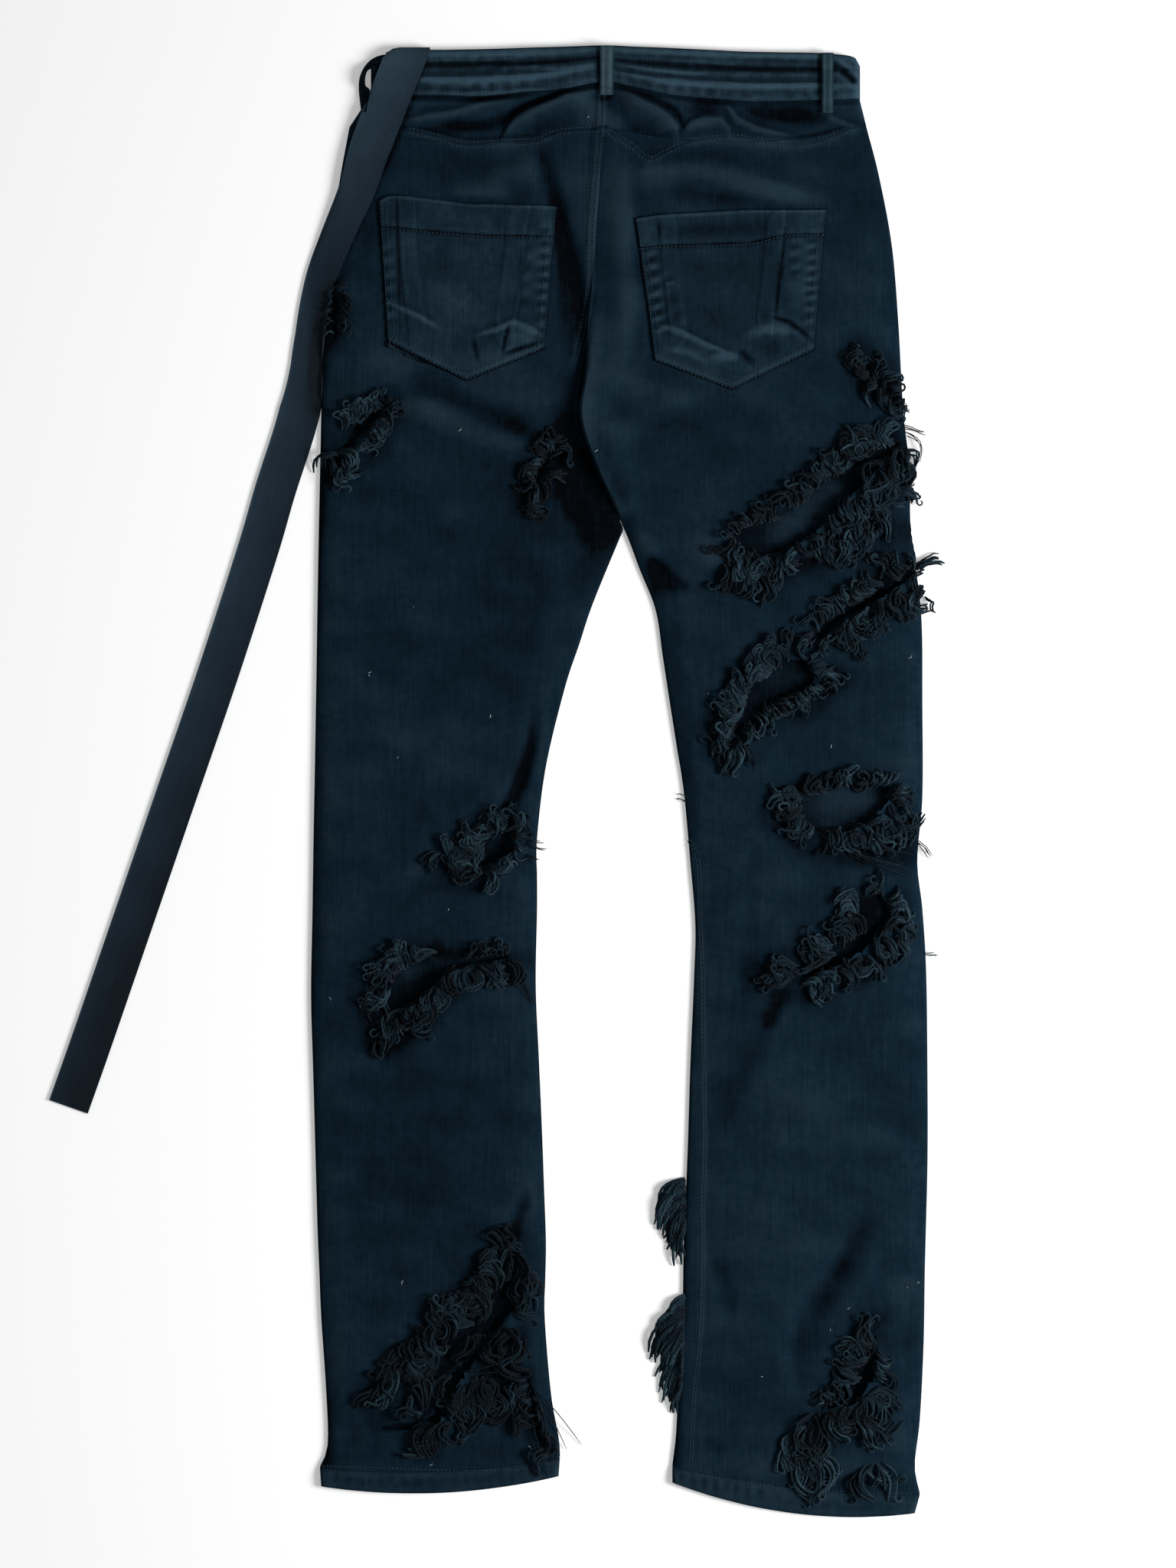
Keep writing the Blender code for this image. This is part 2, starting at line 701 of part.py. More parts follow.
class Jeans:
    """Builds every piece of the garment and its strap."""

    def __init__(self):
        self.parts = new_collection("ripped_jeans")
        self.cutters = new_collection("cutters")
        self.legs = {"left": Leg("left", LEFT_SECTIONS), "right": Leg("right", RIGHT_SECTIONS)}
        self.top_pieces = []

    def piece(self, name, bm, finish):
        """Adds a piece of the garment."""
        return add_piece(name, bm, self.parts, finish)

    def cutter(self, name, bm):
        """Adds a hidden cutter."""
        obj = add_piece(name, bm, self.cutters)
        obj.hide_render = True
        obj.display_type = "WIRE"
        return obj

    def overlay(self, name, leg, outline, cloth, finish):
        """A piece that lies on a back panel, made from the panel's own points moved up."""
        heights = [y for _, y in outline]
        rows = leg.apron_rows(min(heights), max(heights), SEAM_GAP + cloth)
        obj = self.piece(name, sheet_solid(rows, cloth), finish)
        cut(obj, self.cutter(f"{name}_outline", prism(outline, -10, 40)), "INTERSECT")
        self.top_pieces.append(obj)
        return obj

    def panels(self):
        """Front and back leg panels, yokes and hems."""
        for side, leg in self.legs.items():
            self.piece(f"front_leg_{side}", sheet_solid(leg.front_rows(), DENIM), DARK_DENIM)
            back = self.piece(f"back_leg_{side}", sheet_solid(leg.back_rows(), DENIM), DARK_DENIM)
            yoke = self.piece(f"yoke_{side}", sheet_solid(leg.yoke_rows(), DENIM), DARK_DENIM)
            hem = self.piece(f"hem_{side}", ring_solid(leg.hem_rows(), BAND_WALL), DARK_DENIM)
            self.top_pieces += [back, yoke, hem]

    def pockets(self):
        """The two patch pockets on the seat."""
        for side, outline in POCKETS.items():
            self.overlay(f"back_pocket_{side}", self.legs[side], outline, POCKET_CLOTH, DARK_DENIM)

    def rips(self):
        """The rips through the back panels, each with the solid of its frayed yarns."""
        for name, rip in RIPS.items():
            fray = self.overlay(name, self.legs[rip.leg], strip_outline(rip.reach), FRAY_DEPTH, YARN)
            if rip.hole:
                hole = self.cutter(name.replace("fray", "rip"), prism(strip_outline(rip.hole), -10, 40))
                cut(bpy.data.objects[f"back_leg_{rip.leg}"], hole)
                cut(fray, hole)
        low = HEM_TOP + SEAM_GAP
        self.piece("fray_right_hem", prism(HEM_FRAY, low, low + FRAY_DEPTH), YARN)

    def waist(self):
        """The waistband with its button, and the fly on the hidden front."""
        band = self.piece("waistband", ring_solid(waistband_rows(), BAND_WALL), WAIST_DENIM)
        self.top_pieces.append(band)
        x, y = BUTTON_PLACE
        turns = [math.radians(15 * k) for k in range(24)]
        rim, seat = (
            [(x + radius * math.cos(a), y + radius * math.sin(a)) for a in turns]
            for radius in (BUTTON_RADIUS, BUTTON_RADIUS + SEAM_GAP)
        )
        self.piece("waist_button", prism(rim, 0, BAND_WALL), BUTTON_METAL)
        cut(band, self.cutter("button_seat", prism(seat, -10, BAND_WALL + 0.2)))
        front = self.legs["left"].front_rows()
        fly = self.piece("fly", sheet_solid(front, DENIM), DARK_DENIM)
        cut(fly, self.cutter("fly_outline", prism(FLY, -10, 40)), "INTERSECT")
        seat = self.cutter("fly_seat", prism(widened(FLY, 2 * SEAM_GAP), -10, 40))
        cut(bpy.data.objects["front_leg_left"], seat)

    def loops(self):
        """Belt loops: two lying on the band, and the open one at the left side."""
        ground = Ground(self.top_pieces)
        for name, loop in LYING_LOOPS.items():
            ends = Vector((loop.x_bottom, loop.bottom)), Vector((loop.x_top, loop.top))
            route = [ends[0].lerp(ends[1], i / 6) for i in range(7)]
            stations = lay_strip(strip_places(route, [loop.width] * len(route), 3), ground, LOOP_CLOTH, 0.25, 3.5)
            self.top_pieces.append(self.piece(name, ribbon_solid(stations), WAIST_DENIM))
        side = standing_strip(SIDE_LOOP_ROUTE, SIDE_LOOP_CLOTH, SIDE_LOOP_LOW, SIDE_LOOP_HIGH)
        self.piece("belt_loop_left", side, WAIST_DENIM)

    def strap(self):
        """The webbing strap."""
        self.piece("strap", ribbon_solid(strap_stations(Ground(self.top_pieces))), WEBBING_FINISH)

    def build(self):
        """Builds the pieces in the order they lie on each other."""
        self.panels()
        self.pockets()
        self.waist()
        self.rips()
        self.loops()
        self.strap()


def main():
    """Clears the scene and builds the garment."""
    clear_scene()
    Jeans().build()


main()
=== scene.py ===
"""Looks of the ripped jeans: cloth, frayed yarns, topstitching, strap, floor, lamps and camera.

Lengths are in millimetres and become metres when a mesh is made. X runs to the right seen from above,
Y towards the waist and Z up from the floor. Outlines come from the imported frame.
"""

import logging
import math
from dataclasses import dataclass, field, replace
from enum import Enum
from functools import partial
from typing import Callable, Sequence

import bpy
import numpy as np
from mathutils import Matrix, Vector
from mathutils.bvhtree import BVHTree


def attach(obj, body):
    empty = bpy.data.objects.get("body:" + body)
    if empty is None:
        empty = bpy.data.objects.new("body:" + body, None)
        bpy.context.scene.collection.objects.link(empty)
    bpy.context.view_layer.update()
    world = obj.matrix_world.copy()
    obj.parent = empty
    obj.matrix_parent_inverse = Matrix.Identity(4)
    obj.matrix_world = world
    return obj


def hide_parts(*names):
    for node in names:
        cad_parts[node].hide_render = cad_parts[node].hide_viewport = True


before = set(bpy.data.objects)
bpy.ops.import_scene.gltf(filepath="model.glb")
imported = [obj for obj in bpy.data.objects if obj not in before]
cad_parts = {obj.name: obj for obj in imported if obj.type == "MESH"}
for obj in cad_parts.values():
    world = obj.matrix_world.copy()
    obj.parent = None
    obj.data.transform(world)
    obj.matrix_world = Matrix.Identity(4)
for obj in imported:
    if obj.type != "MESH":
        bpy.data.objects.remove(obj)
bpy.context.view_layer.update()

MM = 0.001
Array = np.ndarray
Route = tuple[tuple[float, float], ...]
Colour = tuple[float, float, float]

log = logging.getLogger("jeans")


class Side(Enum):
    """Half of the garment, as seen from above."""

    LEFT = "left"
    RIGHT = "right"

    def outer_first(self, left: Array, right: Array) -> tuple[Array, Array]:
        """Of a left and a right thing, the one at the side seam and then the one at the inseam."""
        return (left, right) if self is Side.LEFT else (right, left)


class Yarn(Enum):
    """How a frayed yarn ends: turned back on itself, cut, or a single loose filament."""

    LOOP = "loop"
    TUFT = "tuft"
    WISP = "wisp"


# ---------------------------------------------------------------- measuring cloth

def smoothstep(low: float, high: float, value: Array) -> Array:
    """0 below low, 1 above high, smooth between."""
    share = np.clip((np.asarray(value, float) - low) / (high - low), 0.0, 1.0)
    return share * share * (3 - 2 * share)


def bell(away: Array, spread: Array | float) -> Array:
    """1 where a distance is 0, falling off smoothly over a spread."""
    return np.exp(-((away / spread) ** 2))


def nearest_on(points: Array, route: Array) -> tuple[Array, Array, Array]:
    """Finds where points lie beside a route.

    Args:
        points: Rows of x and y.
        route: Rows of x and y along the route.

    Returns:
        The distance of each point, its side from -1 right to 1 left, and its length along the route.
    """
    step = np.diff(route, axis=0)
    length = np.maximum(np.hypot(step[:, 0], step[:, 1]), 1e-9)
    starts = lengths_along(route)
    parts = []
    for first in range(0, len(points), 4000):
        part = points[first:first + 4000]
        reach = part[:, None] - route[:-1]
        share = np.clip((reach * step).sum(2) / length**2, 0, 1)
        away = reach - share[..., None] * step
        gap = np.hypot(away[..., 0], away[..., 1])
        pick, row = gap.argmin(1), np.arange(len(part))
        near = gap[row, pick]
        cross = step[pick, 0] * away[row, pick, 1] - step[pick, 1] * away[row, pick, 0]
        side = cross / (length[pick] * np.maximum(near, 1e-6))
        parts.append(np.stack([near, side, starts[pick] + share[row, pick] * length[pick]]))
    near, side, along = np.concatenate(parts, axis=1)
    return near, side, along


def inside(points: Array, outline: Array) -> Array:
    """True for each point that lies inside a closed outline."""
    x, y = points[:, 0, None], points[:, 1, None]
    a, b = outline, np.roll(outline, -1, axis=0)
    spans = (a[:, 1] > y) != (b[:, 1] > y)
    rise = np.where(np.abs(b[:, 1] - a[:, 1]) < 1e-9, 1e-9, b[:, 1] - a[:, 1])
    crossing = a[:, 0] + (y - a[:, 1]) * (b[:, 0] - a[:, 0]) / rise
    return (spans & (x < crossing)).sum(1) % 2 == 1


def lengths_along(route: Array) -> Array:
    """Length from the start to each point of a route."""
    return np.concatenate([[0.0], np.cumsum(np.linalg.norm(np.diff(route, axis=0), axis=1))])


def place_along(route: Array, share: Array) -> Array:
    """Places at shares of a route's length."""
    lengths = lengths_along(route)
    wanted = np.asarray(share) * lengths[-1]
    return np.stack([np.interp(wanted, lengths, route[:, k]) for k in range(route.shape[1])], axis=-1)


def smooth_route(points: Sequence, spacing: float) -> Array:
    """A smooth curve through points, with places about a spacing apart."""
    ends = np.array(points, float)
    ends = np.vstack([2 * ends[0] - ends[1], ends, 2 * ends[-1] - ends[-2]])
    places = []
    for a, b, c, d in zip(ends, ends[1:], ends[2:], ends[3:]):
        count = max(1, round(float(np.linalg.norm(c - b)) / spacing))
        t = (np.arange(count) / count)[:, None]
        square, cube = 2 * a - 5 * b + 4 * c - d, 3 * b - a - 3 * c + d
        places.append(0.5 * (2 * b + (c - a) * t + square * t**2 + cube * t**3))
    return np.vstack([*places, ends[-2][None]])


def rounded_route(route: Array, spacing: float, corner: float = 28.0) -> Array:
    """A route smoothed between its corners, which stay where it turns by more than some degrees."""
    kept = [route[0]]
    for point in route[1:-1]:
        if np.linalg.norm(point - kept[-1]) > 4 and np.linalg.norm(point - route[-1]) > 4:
            kept.append(point)
    kept = np.array([*kept, route[-1]])
    step = np.diff(kept, axis=0)
    heading = np.degrees(np.arctan2(step[:, 1], step[:, 0]))
    turn = np.abs((np.diff(heading) + 180) % 360 - 180)
    stops = [0, *(np.flatnonzero(turn > corner) + 1), len(kept) - 1]
    runs = [smooth_route(kept[a:b + 1], spacing) for a, b in zip(stops, stops[1:])]
    return np.vstack([runs[0], *(run[1:] for run in runs[1:])])


def leftward(heading: Array) -> Array:
    """Unit directions to the left of rows of headings."""
    heading = heading / np.maximum(np.linalg.norm(heading, axis=1), 1e-9)[:, None]
    return np.stack([-heading[:, 1], heading[:, 0]], axis=1)


def beside(route: Array, offset: float) -> Array:
    """A route moved sideways, to its left where the offset is positive."""
    return route + offset * leftward(np.gradient(route, axis=0))


def ripple(points: Array, wavelength: float, seed: int) -> Array:
    """Smooth uneven waves between about -1 and 1, the same on each run."""
    draw = np.random.default_rng(seed)
    total = np.zeros(len(points))
    for _ in range(7):
        angle, phase = draw.uniform(0, 2 * math.pi, 2)
        pace = 2 * math.pi / (wavelength * draw.uniform(0.7, 1.5))
        total += np.sin(points[:, 0] * pace * math.cos(angle) + points[:, 1] * pace * math.sin(angle) + phase)
    return total / 3.2


# ---------------------------------------------------------------- outlines from the frame

def upper_loops(node: str) -> list[Array]:
    """Reads the closed edges of a node's upper side.

    Args:
        node: Name of the solid.

    Returns:
        Loops of x and y, the outline first and then its holes, each anticlockwise or clockwise as it runs.
    """
    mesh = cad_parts[node].data
    places = np.array([v.co for v in mesh.vertices], float) / MM
    faces = np.array([p.vertices for p in mesh.polygons])
    corners = places[faces]
    normal = np.cross(corners[:, 1] - corners[:, 0], corners[:, 2] - corners[:, 0])
    steep = normal[:, 2] / np.maximum(np.linalg.norm(normal, axis=1), 1e-12)
    middle = places[:, 2].max() / 2
    upper = (steep > 0.3) & (corners[:, :, 2].mean(1) > min(middle, 3.0))
    _, solid = np.unique(np.round(places / 0.002).astype(int), axis=0, return_inverse=True)
    solid = solid.reshape(-1)[faces]
    upper |= np.isin(solid, solid[upper]).all(1)
    _, first, index = np.unique(
        np.round(places[:, :2] / 0.02).astype(int), axis=0, return_index=True, return_inverse=True
    )
    upper = index.reshape(-1)[faces[upper]]
    edges = {(a, b) for t in upper for a, b in ((t[0], t[1]), (t[1], t[2]), (t[2], t[0])) if a != b}
    onward = {a: b for a, b in edges if (b, a) not in edges}
    loops = []
    while onward:
        start, place = next(iter(onward.items()))
        loop = [start]
        del onward[start]
        while place != start and place in onward:
            loop.append(place)
            place = onward.pop(place)
        loops.append(places[first[loop], :2])
    return sorted((loop for loop in loops if len(loop) > 2), key=lambda loop: -abs(area_of(loop)))


def area_of(outline: Array) -> float:
    """Area inside a closed outline, positive where it runs anticlockwise."""
    x, y = outline[:, 0], outline[:, 1]
    return 0.5 * float((x * np.roll(y, -1) - np.roll(x, -1) * y).sum())


@dataclass
class FourSides:
    """A cut piece of cloth bounded by four sides, each a route; left and right run upwards."""

    left: Array
    right: Array
    bottom: Array
    top: Array
    outline: Array

    @classmethod
    def of_node(cls, node: str, spacing: float = 3.0) -> "FourSides":
        """Splits the outline of a node's upper side at its four corners.

        Args:
            node: Name of the solid.
            spacing: Distance between places on the smoothed sides.

        Returns:
            The four sides.
        """
        loop = upper_loops(node)[0]
        if area_of(loop) < 0:
            loop = loop[::-1]
        x, y = loop[:, 0], loop[:, 1]
        start = int((-x - y).argmax())
        loop = np.roll(loop, -start, axis=0)
        x, y = loop[:, 0], loop[:, 1]
        lower_right, upper_right, upper_left = (int(v.argmax()) for v in (x - y, x + y, y - x))
        closed = np.vstack([loop, loop[:1]])
        sides = (
            closed[upper_left:][::-1],
            closed[lower_right:upper_right + 1],
            closed[:lower_right + 1],
            closed[upper_right:upper_left + 1][::-1],
        )
        return cls.between(*(rounded_route(side, spacing) for side in sides))

    @classmethod
    def between(cls, left: Array, right: Array, bottom: Array, top: Array) -> "FourSides":
        """A piece between four sides."""
        outline = np.vstack([bottom[:-1], right[:-1], top[::-1][:-1], left[::-1][:-1]])
        return cls(left, right, bottom, top, outline)

    def with_right(self, right: Array) -> "FourSides":
        """The same cloth with another right side."""
        return FourSides.between(self.left, right, self.bottom, self.top)

    def net(self, spacing: float, edge_steps: Sequence[float]) -> tuple[Array, Array, Array]:
        """Lays a net of places over the cloth.

        Args:
            spacing: Distance between threads of the net.
            edge_steps: Distances from each side edge at which the net has extra threads.

        Returns:
            Places as rows x columns x 2, and each place's distance from the left and from the right side.
        """
        rows = round(max(lengths_along(self.left)[-1], lengths_along(self.right)[-1]) / spacing)
        up = np.linspace(0, 1, rows + 1)[:, None]
        start, end = place_along(self.left, up[:, 0]), place_along(self.right, up[:, 0])
        width = np.linalg.norm(end - start, axis=1)[:, None]
        steps = np.array(edge_steps, float)[None]
        columns = round((width.max() - 2 * steps.max()) / spacing)
        inner = steps.max() / width
        middle = inner + (1 - 2 * inner) * np.linspace(0, 1, columns + 1)[None, 1:-1]
        across = np.concatenate([steps / width, middle, 1 - steps[:, ::-1] / width], axis=1)
        places = start[:, None] + (end - start)[:, None] * across[..., None]
        for side, weight in ((self.bottom, 1 - up), (self.top, up)):
            chord = side[0] + (side[-1] - side[0]) * across[..., None]
            places += weight[..., None] * (place_along(side, across) - chord)
        return places, across * width, (1 - across) * width


# ---------------------------------------------------------------- how the cloth lies

@dataclass(frozen=True)
class Crease:
    """A soft ridge, or a trough where the rise is negative, steeper on one side than on the other."""

    path: Route
    rise: float
    left: float
    right: float
    only: Side | None = None

    def height(self, points: Array) -> Array:
        """Height that the crease adds at points."""
        route = smooth_route(self.path, 12.0)
        near, side, along = nearest_on(points, route)
        share = along / lengths_along(route)[-1]
        taper = smoothstep(-0.12, 0.3, share) * smoothstep(-0.12, 0.3, 1 - share)
        spread = (self.right + (self.left - self.right) * (side + 1) / 2) * (0.55 + 0.45 * taper)
        return self.rise * taper * bell(near, spread)


@dataclass(frozen=True)
class FelledSeam:
    """A flat raised band of folded cloth beside a seam line, on its left where the width is positive."""

    path: Route
    width: float = 7.5
    rise: float = 0.7
    groove: float = 0.6
    only: Side | None = None

    def height(self, points: Array) -> Array:
        """Height that the band adds at points, with a groove along its seam line."""
        near, side, _ = nearest_on(points, smooth_route(self.path, 8.0))
        across = near * np.sign(side) * math.copysign(1, self.width)
        width = abs(self.width)
        band = smoothstep(-0.6, 0.8, across) * (1 - smoothstep(width - 1.2, width + 0.8, across))
        return self.rise * band - self.groove * bell(near, 0.9)


@dataclass(frozen=True)
class Puckers:
    """Small uneven ripples that a seam's thread draws into the cloth beside it."""

    path: Route
    pitch: float
    rise: float
    reach: float
    only: Side | None = None

    def height(self, points: Array) -> Array:
        """Height that the ripples add at points."""
        near, side, along = nearest_on(points, smooth_route(self.path, 8.0))
        uneven = 1.6 * np.sin(along / (self.pitch * 2.7)) + 0.9 * np.sin(along / (self.pitch * 1.13) + 1.7)
        wave = np.sin(2 * math.pi * along / self.pitch + uneven + side * near * 0.08)
        strength = 0.65 + 0.35 * np.sin(along / (self.pitch * 4.1) + 0.6)
        return self.rise * wave * strength * bell(near, self.reach)


class DyeAndLight(Crease):
    """A soft patch painted paler, or darker where the rise is negative: in some places dye that has faded or
    stayed dark, in most painted light and shade.
    """


def hand_placed(kind: type[Crease], only: Side | None, *rows: tuple) -> tuple[Crease, ...]:
    """Makes creases or patches of dye and painted light and shade, of one half or of both.

    Args:
        kind: Crease or DyeAndLight.
        only: The half that they belong to, or None.
        rows: For each its rise, its reach or its reaches to the left and to the right, and its path.

    Returns:
        The creases or fades.
    """
    made = []
    for rise, reach, *path in rows:
        left, right = reach if isinstance(reach, tuple) else (reach, reach)
        made.append(kind(tuple(path), rise, left, right, only))
    return tuple(made)


# Folds and seams of the garment's back
BACK_FORMS = hand_placed(
    Crease, None,
    # yokes, pulled towards the centre loop
    (2.6, (3, 5), (-72, 516), (-50, 521), (-30, 524), (-10, 530), (10, 536), (30, 540)),
    (-3.2, (6, 5), (-60, 511), (-30, 512), (0, 516), (22, 526), (44, 536)),
    (4.6, (1.7, 11), (8, 503), (12, 511), (18, 519), (30, 526.5), (50, 533.5), (66, 541.5), (82, 549)),
    (-1.8, (2.4, 2), (8, 517), (17, 524), (30, 530), (48, 537), (62, 544)),
    (4.8, (1.7, 12), (96, 543), (104, 539), (115, 533), (128, 527), (138, 520), (144, 512), (145, 503)),
    (-2.2, (3, 2.2), (108, 542), (122, 536), (136, 529), (146, 520), (150, 510)),
    (2.6, (2.2, 6), (148, 508), (156, 516), (166, 519), (178, 518), (184, 512), (186, 505)),
    (3.6, (2, 4.5), (181, 533), (186, 525), (191, 519), (205, 512), (222, 507), (236, 505)),
    (-2.6, (8, 6), (190, 531), (212, 523), (240, 520), (258, 519)),
    (2.6, (2.2, 5), (256, 527), (266, 519), (278, 514), (292, 512)),
    # seat
    (-2.8, (7, 9), (38, 494), (45, 470), (52, 443), (60, 415), (67, 388), (71, 352), (69, 320)),
    (2, (12, 9), (34, 500), (26, 480), (8, 474), (-10, 468)),
    (1.2, (9, 4), (-40, 462), (-14, 461), (14, 460)),
    (2.2, (8, 12), (102, 478), (104, 440), (104, 402), (106, 372), (102, 330)),
    (2.3, (9, 7), (116, 476), (145, 480), (186, 474), (226, 460), (254, 456)),
    (-1.4, (6, 8), (130, 464), (166, 459), (196, 455)),
    # thighs
    (2.8, (12, 16), (-80, 296), (-46, 290), (-10, 278), (22, 265), (44, 255)),
    (-1.8, 12, (-72, 324), (-44, 308), (-12, 294), (26, 280)),
    (-2.6, (6, 8), (120, 180), (128, 168), (142, 156), (156, 151)),
    (-2.6, (7, 5), (32, 56), (30, 28), (20, -2), (6, -28)),
    (1.2, (6, 7), (42, 50), (40, 22), (34, -6)),
    # lower legs
    (-2.2, (5, 6), (28, -322), (20, -342), (14, -362)),
    (-2.2, (11, 10), (290, -347), (270, -386), (247, -420), (241, -458), (243, -480)),
    (1, (10, 12), (300, -372), (281, -402), (262, -424)),
    (-1.5, 8, (170, -368), (183, -395), (186, -420)),
    (-2.2, (6, 8), (229, -160), (221, -178), (212, -196)),
    (-0.7, 7, (205, -50), (202, -98), (205, -130)),
    (-1.6, (7, 5), (226, -508), (233, -530)),
    (-0.9, 5, (164, -514), (182, -524)),
    (-0.9, 9, (-110, -500), (-112, -524)),
    # rims of the rips that stand up
    (3.4, (12, 5), (312, 256), (296, 240), (279, 223), (262, 206), (246, 190), (224, 173)),
    (2.6, (11, 5), (328, 160), (296, 138), (270, 122), (256, 110)),
    (2.2, (5, 8), (216, 56), (238, 64), (254, 74), (256, 90)),
    (1.6, (8, 5), (203, 44), (190, 24)),
    (3, (5, 12), (254, -42), (278, -40), (298, -26), (310, -14), (313, 0)),
    (2.6, (5, 12), (242, -156), (262, -150), (282, -136), (300, -126), (315, -108)),
    (2.4, (5, 10), (260, -495), (284, -488), (301, -464), (302, -438)),
    (2.4, (5, 9), (-10, -74), (10, -62), (19, -44)),
    (2.6, (5, 10), (-84, -196), (-60, -176), (-38, -155), (-10, -146)),
    (2.8, (5, 10), (-86, -510), (-52, -508), (-40, -496), (-30, -470), (0, -438), (20, -408), (21, -372)),
    (1.8, (5, 7), (34, -468), (42, -506), (47, -524)),
    (1.4, 8, (-84, 290), (-104, 264), (-120, 244)),
) + hand_placed(
    Crease, Side.RIGHT,
    # the right half of the seat lies over the left as far as the crotch
    (6, 30, (78, 380), (73, 348), (68, 318), (68, 280), (78, 249), (94, 221), (104, 200)),
    (1.6, (10, 14), (70, 318), (96, 314), (128, 308), (160, 298)),
    (1.2, (8, 12), (76, 280), (104, 276), (128, 292), (160, 300)),
    # thighs
    (1.8, 8, (104, 196), (120, 182), (136, 172)),
) + hand_placed(
    Crease, Side.LEFT,
    # the right half of the seat lies over the left as far as the crotch
    (-3.2, 20, (66, 330), (62, 290), (68, 258), (82, 228), (97, 202)),
)
